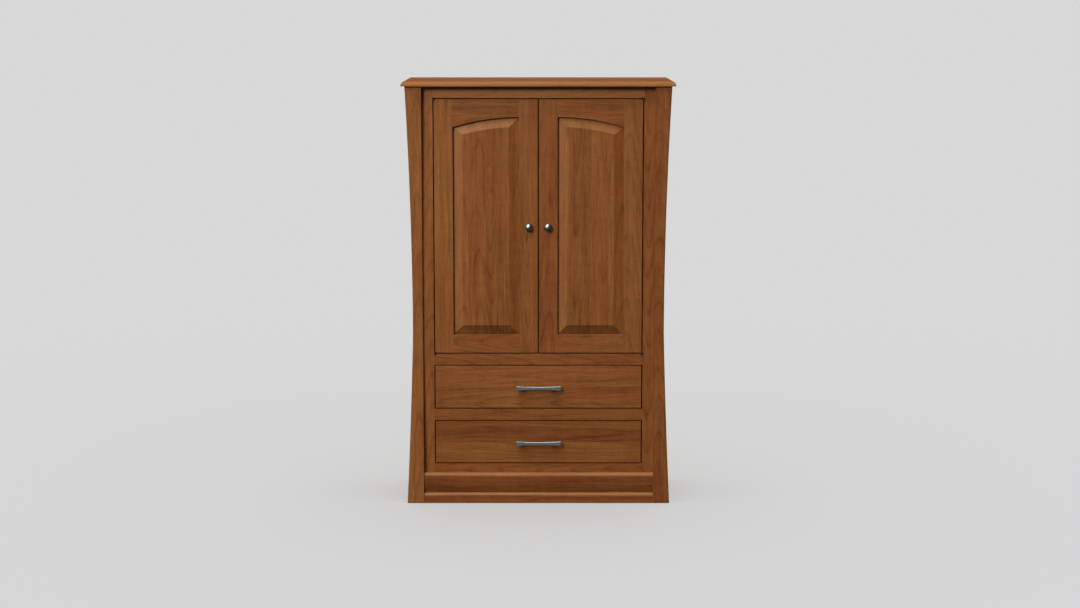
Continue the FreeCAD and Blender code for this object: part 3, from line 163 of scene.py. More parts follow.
class Shader:
    """Small helpers that add and link the nodes of one material, group or world."""

    def __init__(self, tree):
        self.tree = tree

    def add(self, kind, **settings):
        node = self.tree.nodes.new(kind)
        for name, value in settings.items():
            setattr(node, name, value)
        return node

    def feed(self, socket, value):
        """Set an input socket to a number, a vector or colour, or another node's output."""
        if isinstance(value, bpy.types.NodeSocket):
            self.tree.links.new(value, socket)
        else:
            socket.default_value = value

    def math(self, operation, first, second=0.0, third=0.0, clamp=False):
        node = self.add("ShaderNodeMath", operation=operation, use_clamp=clamp)
        for socket, value in zip(node.inputs, (first, second, third)):
            self.feed(socket, value)
        return node.outputs[0]

    def total(self, start, *terms):
        """Start plus each (value, weight), where a value of a half adds nothing."""
        for value, weight in terms:
            start = self.math("MULTIPLY_ADD", self.math("SUBTRACT", value, 0.5), weight, start)
        return start

    def vector_math(self, operation, first, second=(0, 0, 0)):
        node = self.add("ShaderNodeVectorMath", operation=operation)
        self.feed(node.inputs[0], first)
        self.feed(node.inputs[1], second)
        return node.outputs["Value" if operation in ("DOT_PRODUCT", "LENGTH") else "Vector"]

    def split(self, vector):
        node = self.add("ShaderNodeSeparateXYZ")
        self.feed(node.inputs[0], vector)
        return node.outputs

    def join(self, x, y, z):
        node = self.add("ShaderNodeCombineXYZ")
        for socket, value in zip(node.inputs, (x, y, z)):
            self.feed(socket, value)
        return node.outputs[0]

    def noise(self, vector, scale, detail=1.0):
        """Smooth noise with so many features a metre along each axis."""
        node = self.add("ShaderNodeTexNoise")
        self.feed(node.inputs["Vector"], self.vector_math("MULTIPLY", vector, scale))
        self.feed(node.inputs["Scale"], 1.0)
        self.feed(node.inputs["Detail"], detail)
        return node.outputs["Fac"]

    def white_noise(self, value):
        node = self.add("ShaderNodeTexWhiteNoise", noise_dimensions="1D")
        self.feed(node.inputs["W"], value)
        return node.outputs["Value"], node.outputs["Color"]

    def spread(self, value, from_low, from_high, to_low=0.0, to_high=1.0):
        """A value's place between two numbers, as a place between two others, and no further."""
        node = self.add("ShaderNodeMapRange")
        for socket, number in zip(node.inputs, (value, from_low, from_high, to_low, to_high)):
            self.feed(socket, number)
        return node.outputs[0]

    def ramp(self, value, stops, smooth=False):
        """The colour or grey at a value between 0 and 1, from stops of (place, colour or grey)."""
        node = self.add("ShaderNodeValToRGB")
        node.color_ramp.interpolation = "EASE" if smooth else "LINEAR"
        while len(node.color_ramp.elements) < len(stops):
            node.color_ramp.elements.new(1.0)
        for element, (place, colour) in zip(node.color_ramp.elements, stops):
            element.position = place
            element.color = colour if isinstance(colour, tuple) else (colour,) * 3 + (1,)
        self.feed(node.inputs[0], value)
        return node.outputs["Color"]

    def mix(self, factor, first, second):
        node = self.add("ShaderNodeMix", data_type="RGBA")
        self.feed(node.inputs["Factor"], factor)
        self.feed(node.inputs[MIX_COLOUR_A], first)
        self.feed(node.inputs[MIX_COLOUR_B], second)
        return node.outputs[MIX_COLOUR_RESULT]

    def sum(self, first, second):
        node = self.add("ShaderNodeAddShader")
        self.feed(node.inputs[0], first)
        self.feed(node.inputs[1], second)
        return node.outputs[0]

    def bump(self, height, distance, strength, normal):
        node = self.add("ShaderNodeBump")
        self.feed(node.inputs["Strength"], strength)
        self.feed(node.inputs["Distance"], distance)
        self.feed(node.inputs["Height"], height)
        self.feed(node.inputs["Normal"], normal)
        return node.outputs[0]

    def worn_edges(self, radius, place, wear):
        """A normal rounded over each arris, and how far the finish there is rubbed through."""
        bevel = self.add("ShaderNodeBevel", samples=4)
        self.feed(bevel.inputs["Radius"], radius)
        geometry = self.add("ShaderNodeNewGeometry").outputs
        flatness = self.vector_math("DOT_PRODUCT", bevel.outputs[0], geometry["True Normal"])
        patches = self.noise(place, WEAR_SCALE, detail=2.0)
        rub = self.spread(patches, *MOST_OF_NOISE, WEAR_LEAST, wear)
        rounded = self.spread(flatness, *WEAR_COSINES)
        return bevel.outputs[0], self.math("MULTIPLY", rounded, rub)


def new_material(name):
    """A material with its node helpers and its Principled shader."""
    material = bpy.data.materials.new(name)
    material.use_nodes = True
    return material, Shader(material.node_tree), material.node_tree.nodes["Principled BSDF"]


def seen_directly(shader):
    """1 for what the camera, a reflection or a refraction sees, and 0 for scattered light."""
    path = shader.add("ShaderNodeLightPath").outputs
    seen = shader.math("MAXIMUM", path["Is Camera Ray"], path["Is Glossy Ray"])
    return shader.math("MAXIMUM", seen, path["Is Transmission Ray"])


def add_world():
    world = bpy.data.worlds.new("studio")
    world.use_nodes = True
    shader = Shader(world.node_tree)
    background = world.node_tree.nodes["Background"]
    shader.feed(background.inputs["Color"], BACKDROP_COLOUR)
    shader.feed(background.inputs["Strength"], shader.math(
        "MULTIPLY_ADD", seen_directly(shader), 1.0 - FILL_STRENGTH, FILL_STRENGTH))
    bpy.context.scene.world = world


def add_floor():
    bpy.ops.mesh.primitive_plane_add(size=FLOOR_SIZE)
    floor = bpy.context.object
    floor.name = "floor"
    material, shader, principled = new_material("floor")
    material.node_tree.nodes.remove(principled)
    seen = seen_directly(shader)
    position = shader.add("ShaderNodeNewGeometry").outputs["Position"]
    fade = shader.add("ShaderNodeMapRange", interpolation_type="SMOOTHSTEP")
    far_off = shader.vector_math("LENGTH", position)
    for socket, number in zip(fade.inputs, (far_off, *FLOOR_FADE, 0.0, 1.0)):
        shader.feed(socket, number)
    matt = shader.add("ShaderNodeBsdfDiffuse")
    shader.feed(matt.inputs["Color"], shader.mix(seen, BOUNCE_COLOUR, FLOOR_ALBEDO))
    glow = shader.add("ShaderNodeEmission")
    shader.feed(glow.inputs["Color"], BACKDROP_COLOUR)
    shader.feed(glow.inputs["Strength"], shader.math("MULTIPLY", seen, FLOOR_GLOW))
    backdrop = shader.add("ShaderNodeEmission")
    shader.feed(backdrop.inputs["Color"], BACKDROP_COLOUR)
    shader.feed(backdrop.inputs["Strength"], seen)
    whole = shader.add("ShaderNodeMixShader")
    shader.feed(whole.inputs[0], fade.outputs[0])
    shader.feed(whole.inputs[1], shader.sum(matt.outputs[0], glow.outputs[0]))
    shader.feed(whole.inputs[2], backdrop.outputs[0])
    shader.feed(material.node_tree.nodes["Material Output"].inputs["Surface"], whole.outputs[0])
    floor.data.materials.append(material)
    return floor


def linear(red, green, blue):
    """An sRGB colour of 0-255 channels as a linear colour with alpha."""
    def channel(level):
        level = level / 255
        return level / 12.92 if level <= 0.04045 else ((level + 0.055) / 1.055) ** 2.4
    return (channel(red), channel(green), channel(blue), 1.0)


def new_group(name, inputs, outputs):
    """A shader node group with the given (name, kind) inputs and outputs."""
    tree = bpy.data.node_groups.new(name, "ShaderNodeTree")
    for label, kind in inputs:
        tree.interface.new_socket(label, in_out="INPUT", socket_type=kind)
    for label, kind in outputs:
        tree.interface.new_socket(label, in_out="OUTPUT", socket_type=kind)
    shader = Shader(tree)
    return shader, shader.add("NodeGroupInput").outputs, shader.add("NodeGroupOutput").inputs


# The layers of timber figure: how many features a metre there are across the board, into it and
# along the grain, and how strongly each layer shows.
STREAKS = ((50, 50, 2.6), 0.8)
FINE_STREAKS = ((220, 220, 10), 0.65)
FIBRES = ((1400, 1400, 20), 0.6)
RIPPLES = ((9, 9, 36), 0.25)
HUE_DRIFT_SCALE = (7, 7, 1.3)
RINGS_WEIGHT = 0.5
STAVE_WEIGHT = 0.36

# Gum specks are the peaks of a noise, faint at the first of these values and full at the second.
GUM_SCALE = (600, 600, 42)
GUM_PEAKS = (0.70, 0.78)

# How dark the wood is over one year's growth, the least and the range of a ring's strength, and
# the features a metre of the waves that bend the rings, with how many rings' width they reach.
RING_PROFILE = [(0.0, 0.75), (0.08, 0.35), (0.30, 0.32), (0.75, 0.52), (0.93, 1.0), (1.0, 0.75)]
RING_STRENGTH = (0.3, 0.8)
RING_WAVES = ((16, 16, 4), 0.9)

# Distances in metres. Each stave comes from its own place in the log, and its pith lies at the
# board's own pith depth or up to a chance depth further, wanders sideways and tilts with a slope.
RING_SPACING = 0.0065
STAVE_SHIFT = (0.5, 0.3, 7)
PITH_DEPTH = 0.06
PITH_CHANCE_DEPTH = 0.05
PITH_WANDER = 0.05
PITH_WANDERS_A_METRE = 2.2
PITH_SLOPE = 0.055


def make_grain_group():
    """Timber figure: growth rings round a pith that leaves the stave, streaks and fibres.

    Board gives metres across the board, into it and along the grain; Stave counts the glued
    staves across. Figure runs from pale early wood (0) to dark late wood (1); Patch is a slow
    drift of hue, Fleck marks dark gum, and Fibre the open grain.
    """
    shader, given, made = new_group("grain", [
        ("Board", "NodeSocketVector"), ("Shift", "NodeSocketVector"),
        ("Stave", "NodeSocketFloat"), ("Stave Width", "NodeSocketFloat"),
        ("Pith Depth", "NodeSocketFloat"),
    ], [
        ("Figure", "NodeSocketFloat"), ("Patch", "NodeSocketFloat"),
        ("Fleck", "NodeSocketFloat"), ("Fibre", "NodeSocketFloat"),
    ])
    number = shader.math("FLOOR", given["Stave"])
    tone, chance = shader.white_noise(number)
    chance_side, chance_depth, chance_tilt = shader.split(chance)
    place = shader.vector_math("ADD", given["Board"], given["Shift"])
    stave_shift = shader.vector_math("MULTIPLY", chance, STAVE_SHIFT)
    place = shader.vector_math("ADD", place, stave_shift)

    # The pith lies behind the stave and runs out of it slowly, so the rings make long arches.
    slow = shader.math("MULTIPLY", shader.split(place)[2], PITH_WANDERS_A_METRE)
    wander = shader.noise(shader.join(slow, 0.0, number), (1, 1, 1), detail=0.0)
    middle = shader.math("SUBTRACT", shader.math("FRACT", given["Stave"]), 0.5)
    side = shader.math("MULTIPLY", middle, given["Stave Width"])
    side = shader.total(side, (chance_side, given["Stave Width"]), (wander, PITH_WANDER))
    tilt = shader.spread(chance_tilt, 0.0, 1.0, -PITH_SLOPE, PITH_SLOPE)
    along = shader.split(given["Board"])[2]
    depth = shader.math("MULTIPLY_ADD", along, tilt, given["Pith Depth"])
    depth = shader.math("MULTIPLY_ADD", chance_depth, PITH_CHANCE_DEPTH, depth)
    distance = shader.math("SQRT", shader.math(
        "ADD", shader.math("MULTIPLY", side, side), shader.math("MULTIPLY", depth, depth)))

    waves_scale, waves_height = RING_WAVES
    phase = shader.math("DIVIDE", distance, RING_SPACING)
    phase = shader.math("MULTIPLY_ADD", shader.noise(place, waves_scale), waves_height, phase)
    ring = shader.ramp(shader.math("FRACT", phase), RING_PROFILE, smooth=True)
    least, chance_range = RING_STRENGTH
    ring_strength = shader.white_noise(shader.math("FLOOR", phase))[0]
    ring_strength = shader.math("MULTIPLY_ADD", ring_strength, chance_range, least)
    ring = shader.math("MULTIPLY", shader.math("SUBTRACT", ring, 0.5), ring_strength)

    fibre = shader.noise(place, FIBRES[0], detail=2.0)
    figure = shader.math("MULTIPLY_ADD", ring, RINGS_WEIGHT, 0.5)
    figure = shader.total(
        figure, (shader.noise(place, STREAKS[0]), STREAKS[1]),
        (shader.noise(place, FINE_STREAKS[0], detail=2.0), FINE_STREAKS[1]), (fibre, FIBRES[1]),
        (shader.noise(place, RIPPLES[0]), RIPPLES[1]), (tone, STAVE_WEIGHT))
    shader.feed(made["Figure"], figure)
    drift = shader.noise(place, HUE_DRIFT_SCALE)
    shader.feed(made["Patch"], shader.spread(drift, *MOST_OF_NOISE))
    specks = shader.noise(place, GUM_SCALE, detail=0.0)
    shader.feed(made["Fleck"], shader.spread(specks, *GUM_PEAKS))
    shader.feed(made["Fibre"], fibre)
    return shader.tree


# Lacquered wood: its roughness, how much duller the surfaces are that lie level, how roughness
# follows the figure and the wear, and how deep the open grain is, in metres and by strength.
SATIN = 0.5
LEVEL_DULLNESS = 0.3
FIGURE_DULLNESS = 0.14
WORN_DULLNESS = 0.1
LACQUER_IOR = 1.5
GRAIN_RELIEF = (0.0004, 0.25)

# Arrises of wood: how wide their rounding looks, in metres, and how far their finish is worn.
WOOD_ARRIS = 0.0009
WOOD_WEAR = 0.6

# How strongly gum and the layers of plywood show, how much darker end grain is, and how much
# darker or paler a board may be by chance.
GUM_STRENGTH = 0.55
PLY_STRENGTH = 0.5
END_GRAIN_DARKER = 0.22
CHANCE_DARKER = 0.05

# Cosines to the grain, to the vertical and to a plywood's face: where end grain, a level surface
# and the edges of the layers start to count as such, and where they fully do.
END_GRAIN_COSINES = (0.80, 0.98)
LEVEL_COSINES = (0.80, 0.97)
PLY_EDGE_COSINES = (0.7, 0.4)

# Where the tone changes on the way from the middle of one layer of plywood to the next one's.
PLY_CHANGE = (0.35, 0.65)

# Staves are numbered from a chance number below this one. Their count stays just under a whole
# number at the board's far edge, so that the edge belongs to the last stave.
STAVE_NUMBERS = 100
LAST_STAVE_KEPT = 0.9999

# Each board's figure comes from its own place in the log, up to so many metres away.
LOG_REACH = (1, 1, 40)

# How a surface's normal is read to tell which way it faces.
FACINGS = {"up": ("Z", "MULTIPLY", 1.0), "down": ("Z", "MULTIPLY", -1.0),
           "level": ("Z", "ABSOLUTE", 0.0), "left": ("X", "MULTIPLY", -1.0)}


def add_wood(node, grain, tones, staves=1, darker=0.0, pith=PITH_DEPTH, plies=None, light_and_shade=()):
    """Dress one node in wood cut from its own place in the tree.

    Plies is (axis, thickness) where the board is plywood and its edges show the layers.
    The last argument is light and shade painted into the colour, paler or darker by the way the
    surface faces: (facing, where it starts, where it is full, tone, strength).
    """
    seeded = random.Random(node)
    material, shader, surface = new_material(f"{tones['name']}_{node}")
    coordinates = shader.add("ShaderNodeTexCoord").outputs
    place = dict(zip("XYZ", shader.split(coordinates["Object"])))
    facing = dict(zip("XYZ", shader.split(coordinates["Normal"])))
    board = shader.join(*[place[axis] for axis in grain])
    low, high = (corner["XYZ".index(grain[0])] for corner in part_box(node))
    stave_width = (high - low) / staves
    first_stave = math.floor(STAVE_NUMBERS * seeded.random())
    stave = shader.math("SUBTRACT", place[grain[0]], low)
    stave = shader.math("MULTIPLY_ADD", stave, LAST_STAVE_KEPT / stave_width, first_stave)
    group = shader.add("ShaderNodeGroup", node_tree=grain_group)
    shift = [seeded.uniform(0, reach) for reach in LOG_REACH]
    for label, value in (("Board", board), ("Shift", shift), ("Stave", stave),
                         ("Stave Width", stave_width), ("Pith Depth", pith)):
        shader.feed(group.inputs[label], value)
    figure = group.outputs

    darker += seeded.uniform(-CHANCE_DARKER, CHANCE_DARKER)
    shade = shader.math("ADD", figure["Figure"], darker)
    end_grain = shader.spread(shader.math("ABSOLUTE", facing[grain[2]]), *END_GRAIN_COSINES)
    shade = shader.math("MULTIPLY_ADD", end_grain, END_GRAIN_DARKER, shade, clamp=True)
    colour = shader.mix(figure["Patch"], shader.ramp(shade, tones["warm"]),
                        shader.ramp(shade, tones["red"]))
    gum = shader.math("MULTIPLY", figure["Fleck"], GUM_STRENGTH)
    colour = shader.mix(gum, colour, tones["gum"])
    if plies:
        axis, thickness = plies
        layer = shader.math("DIVIDE", place[axis], thickness)
        layer = shader.spread(shader.math("PINGPONG", layer, 1.0), *PLY_CHANGE)
        edge = shader.spread(shader.math("ABSOLUTE", facing[axis]), *PLY_EDGE_COSINES)
        edge = shader.math("MULTIPLY", edge, PLY_STRENGTH)
        colour = shader.mix(shader.math("MULTIPLY", layer, edge), colour, tones["gum"])
    # Paint light and shade by the way the surface faces.
    for facing_to, start, full, tone, strength in light_and_shade:
        axis, operation, sign = FACINGS[facing_to]
        painted_mask = shader.spread(shader.math(operation, facing[axis], sign), start, full)
        uneven = shader.math("MULTIPLY", shader.math("ADD", figure["Fibre"], 0.5), strength)
        colour = shader.mix(shader.math("MULTIPLY", painted_mask, uneven), colour, tones[tone])
    normal, worn = shader.worn_edges(WOOD_ARRIS, board, WOOD_WEAR)
    shader.feed(surface.inputs["Base Color"], shader.mix(worn, colour, tones["worn"]))

    level = shader.spread(shader.math("ABSOLUTE", facing["Z"]), *LEVEL_COSINES)
    rough = shader.total(SATIN, (figure["Figure"], FIGURE_DULLNESS))
    rough = shader.math("MULTIPLY_ADD", level, LEVEL_DULLNESS, rough)
    rough = shader.math("MULTIPLY_ADD", worn, WORN_DULLNESS, rough)
    shader.feed(surface.inputs["Roughness"], rough)
    surface.inputs["IOR"].default_value = LACQUER_IOR
    surface.inputs["Specular IOR Level"].default_value = tones["gloss"]
    relief = shader.bump(figure["Fibre"], *GRAIN_RELIEF, normal)
    shader.feed(surface.inputs["Normal"], relief)
    dress(nodes[node], material)


def dress(item, material):
    item.data.materials.clear()
    item.data.materials.append(material)


# Metal, with features a metre: its lay by the axis it is brushed along, its clouds, and its
# scratches, which are the peaks of a noise. Relief is a depth in metres and a strength.
METAL_LAY = {None: (900, 900, 900), "X": (35, 2600, 2600), "Y": (2600, 35, 2600)}
METAL_CLOUDS = (70, 70, 70)
SCRATCH_SCALE = (160, 1900, 420)
SCRATCH_PEAKS = (0.66, 0.74)
SCRATCH_DULLNESS = 0.08
METAL_RELIEF = (0.00005, 0.3)
METAL_ARRIS = 0.0005
METAL_WEAR = 0.8

# The darkest and brightest mottling as shares of the metal's own colour, and how much of it
# follows the lay and the clouds.
DULLEST, BRIGHTEST = 0.72, 1.25
LAY_WEIGHT, CLOUD_WEIGHT = 0.5, 0.7

# A knob's painted highlight: the way that the part it is painted on faces, up, forward and left
# towards the lamps, the cosines to it where the part starts and where it is full, and how far the
# clouds break its edge up.
PAINTED_HIGHLIGHT_FACING = (-0.42, -0.74, 0.53)
PAINTED_HIGHLIGHT_COSINES = (0.70, 0.95)
PAINTED_HIGHLIGHT_CLOUDS = 0.2


def metal_material(name, colour, worn, finish, brushed=None, mottle=0.06, painted_highlight=None):
    """A metal: mottled or brushed polish, fine scratches, and bright rubbed arrises.

    Worn is the colour of its rubbed arrises, finish its roughness, and mottle how uneven that is.
    The last argument is the colour of a painted highlight on the part facing the lamps.
    """
    material, shader, surface = new_material(name)
    coordinates = shader.add("ShaderNodeTexCoord").outputs
    place = coordinates["Object"]
    lay = shader.noise(place, METAL_LAY[brushed], detail=2.0)
    cloud = shader.noise(place, METAL_CLOUDS, detail=3.0)
    scratch = shader.noise(place, SCRATCH_SCALE, detail=0.0)
    scratch = shader.spread(scratch, *SCRATCH_PEAKS)
    tone = shader.total(0.5, (lay, LAY_WEIGHT), (cloud, CLOUD_WEIGHT))
    dull = (*(DULLEST * channel for channel in colour), 1)
    bright = (*(BRIGHTEST * channel for channel in colour), 1)
    base = shader.mix(shader.math("ADD", tone, 0.0, clamp=True), dull, bright)
    # Paint a highlight on the part that faces up, forward and left, towards the lamps.
    if painted_highlight:
        forward = shader.vector_math("DOT_PRODUCT", coordinates["Normal"], PAINTED_HIGHLIGHT_FACING)
        forward = shader.total(forward, (cloud, PAINTED_HIGHLIGHT_CLOUDS))
        base = shader.mix(shader.spread(forward, *PAINTED_HIGHLIGHT_COSINES), base, (*painted_highlight, 1))
    normal, rubbed = shader.worn_edges(METAL_ARRIS, place, METAL_WEAR)
    shader.feed(surface.inputs["Base Color"], shader.mix(rubbed, base, (*worn, 1)))
    surface.inputs["Metallic"].default_value = 1.0
    rough = shader.total(finish, (lay, mottle), (cloud, 2 * mottle))
    rough = shader.math("MULTIPLY_ADD", scratch, SCRATCH_DULLNESS, rough)
    shader.feed(surface.inputs["Roughness"], rough)
    shader.feed(surface.inputs["Normal"], shader.bump(lay, *METAL_RELIEF, normal))
    return material


# Plastic, with features a metre and relief as for metal. It is this far paler than its own colour,
# and the weights are how much its tone and its roughness follow the grain and the clouds.
PLASTIC_GRAIN = (1800, 1800, 1800)
PLASTIC_CLOUDS = (45, 45, 45)
PLASTIC_PALER = 0.3
GRAIN_TONE, CLOUD_TONE = 0.5, 0.6
GRAIN_DULLNESS, CLOUD_DULLNESS = 0.2, 0.25
PLASTIC_ROUGHNESS = 0.55
PLASTIC_IOR = 1.46
PLASTIC_RELIEF = (0.0001, 0.5)
PLASTIC_ARRIS = 0.0006
PLASTIC_WEAR = 0.5


def plastic_material(name, colour, pale):
    """Moulded plastic: a fine spark-eroded grain, cloudy sheen and paler rubbed edges."""
    material, shader, surface = new_material(name)
    place = shader.add("ShaderNodeTexCoord").outputs["Object"]
    grain = shader.noise(place, PLASTIC_GRAIN, detail=2.0)
    cloud = shader.noise(place, PLASTIC_CLOUDS, detail=2.0)
    normal, worn = shader.worn_edges(PLASTIC_ARRIS, place, PLASTIC_WEAR)
    tone = shader.total(PLASTIC_PALER, (grain, GRAIN_TONE), (cloud, CLOUD_TONE))
    base = shader.mix(shader.math("ADD", tone, 0.0, clamp=True), colour, pale)
    shader.feed(surface.inputs["Base Color"], shader.mix(worn, base, pale))
    rough = shader.total(PLASTIC_ROUGHNESS, (cloud, CLOUD_DULLNESS), (grain, GRAIN_DULLNESS))
    shader.feed(surface.inputs["Roughness"], rough)
    surface.inputs["IOR"].default_value = PLASTIC_IOR
    shader.feed(surface.inputs["Normal"], shader.bump(grain, *PLASTIC_RELIEF, normal))
    return material


# Timbers. Warm and red are the two hues that drift over a board, each from pale to dark wood.
CHERRY = {
    "name": "cherry",
    "warm": [(0.0, linear(145, 94, 48)), (0.35, linear(131, 80, 36)),
             (0.65, linear(118, 68, 26)), (1.0, linear(90, 46, 13))],
    "red": [(0.0, linear(142, 87, 43)), (0.35, linear(128, 73, 32)),
            (0.65, linear(114, 61, 23)), (1.0, linear(86, 40, 11))],
    # Gum also serves as the colour of painted shade, and worn as that of painted light.
    "gum": linear(58, 24, 9),
    "worn": linear(158, 108, 64),
    # Used only for the painted light on the raised panels' bevels.
    "painted_light": linear(161, 112, 52),
    "gloss": 0.2,
}
DULL_CHERRY = {**CHERRY, "name": "dull_cherry", "gloss": 0.05}
MAPLE = {
    "name": "maple",
    "warm": [(0.0, linear(214, 188, 150)), (0.35, linear(203, 173, 132)),
             (0.65, linear(193, 161, 119)), (1.0, linear(172, 137, 96))],
    "red": [(0.0, linear(208, 178, 143)), (0.35, linear(196, 162, 124)),
            (0.65, linear(186, 150, 111)), (1.0, linear(163, 125, 88))],
    "gum": linear(128, 92, 60),
    "worn": linear(221, 199, 166),
    "gloss": 0.35,
}
BIRCH_PLY = {
    "name": "birch_ply",
    "warm": [(0.0, linear(205, 176, 136)), (0.35, linear(190, 158, 116)),
             (0.65, linear(176, 143, 101)), (1.0, linear(148, 112, 74))],
    "red": [(0.0, linear(198, 166, 130)), (0.35, linear(182, 147, 110)),
            (0.65, linear(168, 132, 95)), (1.0, linear(139, 101, 68))],
    "gum": linear(104, 70, 44),
    "worn": linear(208, 182, 146),
    "gloss": 0.3,
}

# Plywood's veneer is peeled round the log, so its pith is far off. Both are in metres.
PEELED_PITH = 0.25
PLY_THICKNESS = 0.0012

MM = 0.001

# How many sides a round screw head has. Its rim, its crown and its cross recess, whose arms taper
# to the recess's floor, are shares of its radius and height.
HEAD_SIDES = 24
HEAD_RIM = 0.45
HEAD_CROWN, HEAD_CROWN_LEVEL = 0.86, 0.85
RECESS_ARM, RECESS_HALF_WIDTH, RECESS_DEPTH = 0.62, 0.13, 0.75
RECESS_TAPER = 0.8


def add_screw_head(mesh, centre, normal, radius, height):
    """A domed round head with a cross recess, standing on a surface at centre."""
    turn = Vector(normal).to_track_quat("Z", "Y").to_matrix()
    arm, width = RECESS_ARM * radius, RECESS_HALF_WIDTH * radius

    def ring(points, level):
        return [mesh.verts.new(Vector(centre) + turn @ Vector((x, y, level))) for x, y in points]

    def circle(size):
        return [(size * math.cos(math.tau * step / HEAD_SIDES),
                 size * math.sin(math.tau * step / HEAD_SIDES)) for step in range(HEAD_SIDES)]

    cross = []
    for quarter in range(4):
        angle = math.tau * quarter / 4
        for x, y in ((arm, -width), (arm, width), (width, width)):
            cross.append((x * math.cos(angle) - y * math.sin(angle),
                          x * math.sin(angle) + y * math.cos(angle)))
    recess_floor = [(RECESS_TAPER * x, RECESS_TAPER * y) for x, y in cross]

    def closed(verts):
        return [mesh.edges.get(pair) or mesh.edges.new(pair)
                for pair in zip(verts, verts[1:] + verts[:1])]

    loops = [ring(circle(radius), 0.0), ring(circle(radius), HEAD_RIM * height),
             ring(circle(HEAD_CROWN * radius), HEAD_CROWN_LEVEL * height), ring(cross, height),
             ring(recess_floor, height - RECESS_DEPTH * height)]
    edges = [closed(loop) for loop in loops]
    for outer, inner in zip(edges, edges[1:]):
        bmesh.ops.bridge_loops(mesh, edges=outer + inner)
    mesh.faces.new(loops[0])
    mesh.faces.new(loops[-1])


def add_piece(name, mesh, body, slot):
    """Make a flat-shaded object of a mesh, in its slot's finish, riding on a body."""
    bmesh.ops.recalc_face_normals(mesh, faces=mesh.faces)
    data = bpy.data.meshes.new(name)
    mesh.to_mesh(data)
    mesh.free()
    for face in data.polygons:
        face.use_smooth = False
    piece = bpy.data.objects.new(name, data)
    bpy.context.collection.objects.link(piece)
    dress(piece, HARDWARE[slot])
    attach(piece, body)


def add_screws(name, body, places, normal, head, slot="zinc_steel"):
    """The heads of one set of screws, as one piece. Head is (radius, height)."""
    mesh = bmesh.new()
    for centre in places:
        add_screw_head(mesh, centre, normal, *head)
    add_piece(name, mesh, body, slot)


def add_plate(mesh, low, high, rounding):
    """A thin plate with rounded edges, from one corner to the other."""
    made = bmesh.ops.create_cube(mesh, size=1.0)["verts"]
    for vert in made:
        vert.co = Vector(high[axis] if vert.co[axis] > 0 else low[axis] for axis in range(3))
    edges = {edge for vert in made for edge in vert.link_edges}
    bmesh.ops.bevel(mesh, geom=list(edges), offset=rounding, segments=2, affect="EDGES",
                    clamp_overlap=True)


# Screw heads as (radius, height).
HINGE_HEAD = (3.2 * MM, 0.6 * MM)
STRIKE_HEAD = (3.2 * MM, 0.2 * MM)
CATCH_HEAD = (3.6 * MM, 1.6 * MM)
BACK_HEAD = (3.4 * MM, 1.4 * MM)
SLIDE_HEAD = (3.0 * MM, 1.3 * MM)
PULL_HEAD = (4.0 * MM, 0.9 * MM)

# Screws of a hinge leaf: how far from its inner end, and how far from its back edge.
LEAF_SCREW_REACHES = (8 * MM, 31 * MM)
LEAF_SCREW_INSET = 5 * MM


def add_door_screws(side, body):
    """Screws of a door's hinge leaves and strike plate. Side is 1 for right and -1 for left.

    Returns where the leaves' screws are in plan.
    """
    name = body.split("_")[0]
    low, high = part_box(f"door_hinge_leaves_{name}")
    inner = low[0] if side > 0 else high[0]
    places = [(inner + side * reach, high[1] - LEAF_SCREW_INSET) for reach in LEAF_SCREW_REACHES]
    for end, level, up in (("top", high[2], 1), ("bottom", low[2], -1)):
        add_screws(f"hinge_screws_{end}_{name}", body, [(x, y, level) for x, y in places],
                   (0, 0, up), HINGE_HEAD, "bronze")
    low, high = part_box(f"door_strike_plate_{name}")
    middle = ((low[0] + high[0]) / 2, high[1], (low[2] + high[2]) / 2)
    add_screws(f"strike_screw_{name}", body, [middle], (0, 1, 0), STRIKE_HEAD)
    return places


def add_hinge_screws():
    """Screws of both doors, and of the frame leaves above and below them."""
    places = add_door_screws(1, "right_door") + add_door_screws(-1, "left_door")
    sill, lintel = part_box("face_mid_rail")[1][2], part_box("face_top_rail")[0][2]
    for end, level, up in (("bottom", sill, 1), ("top", lintel, -1)):
        add_screws(f"frame_hinge_screws_{end}", "case", [(x, y, level) for x, y in places],
                   (0, 0, up), HINGE_HEAD, "bronze")


# The catch's poles, two for each door. Its front lies a gap behind the strike plates, and the
# poles stand out from it and reach back into it.
POLE_MIDDLES = (-20 * MM, 20 * MM)
POLE_LEVELS = (5 * MM, 12 * MM)
POLE_HALF_WIDTH = 10 * MM
POLE_HALF_HEIGHT = 1.5 * MM
POLE_ROUNDING = 0.3 * MM
STRIKE_GAP = 0.3 * MM
POLE_STAND_OUT = 0.15 * MM
POLE_DEPTH = 4 * MM

# The catch's screws: how far from its middle, its front and its top.
CATCH_SCREW_REACH = 24 * MM
CATCH_SCREW_INSET = 3 * MM
CATCH_SCREW_DROP = 16 * MM


def add_catch():
    """The magnetic catch's poles and its two screws."""
    low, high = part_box("magnetic_catch")
    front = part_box("door_strike_plate_right")[1][1] + STRIKE_GAP
    poles = bmesh.new()
    for x in POLE_MIDDLES:
        for z in (low[2] + level for level in POLE_LEVELS):
            add_plate(poles, (x - POLE_HALF_WIDTH, front - POLE_STAND_OUT, z - POLE_HALF_HEIGHT),
                      (x + POLE_HALF_WIDTH, front + POLE_DEPTH, z + POLE_HALF_HEIGHT),
                      POLE_ROUNDING)
    add_piece("catch_poles", poles, "case", "zinc_steel")
    places = [(x, low[1] + CATCH_SCREW_INSET, high[2] - CATCH_SCREW_DROP)
              for x in (-CATCH_SCREW_REACH, CATCH_SCREW_REACH)]
    add_screws("catch_screws", "case", places, (0, 1, 0), CATCH_HEAD)


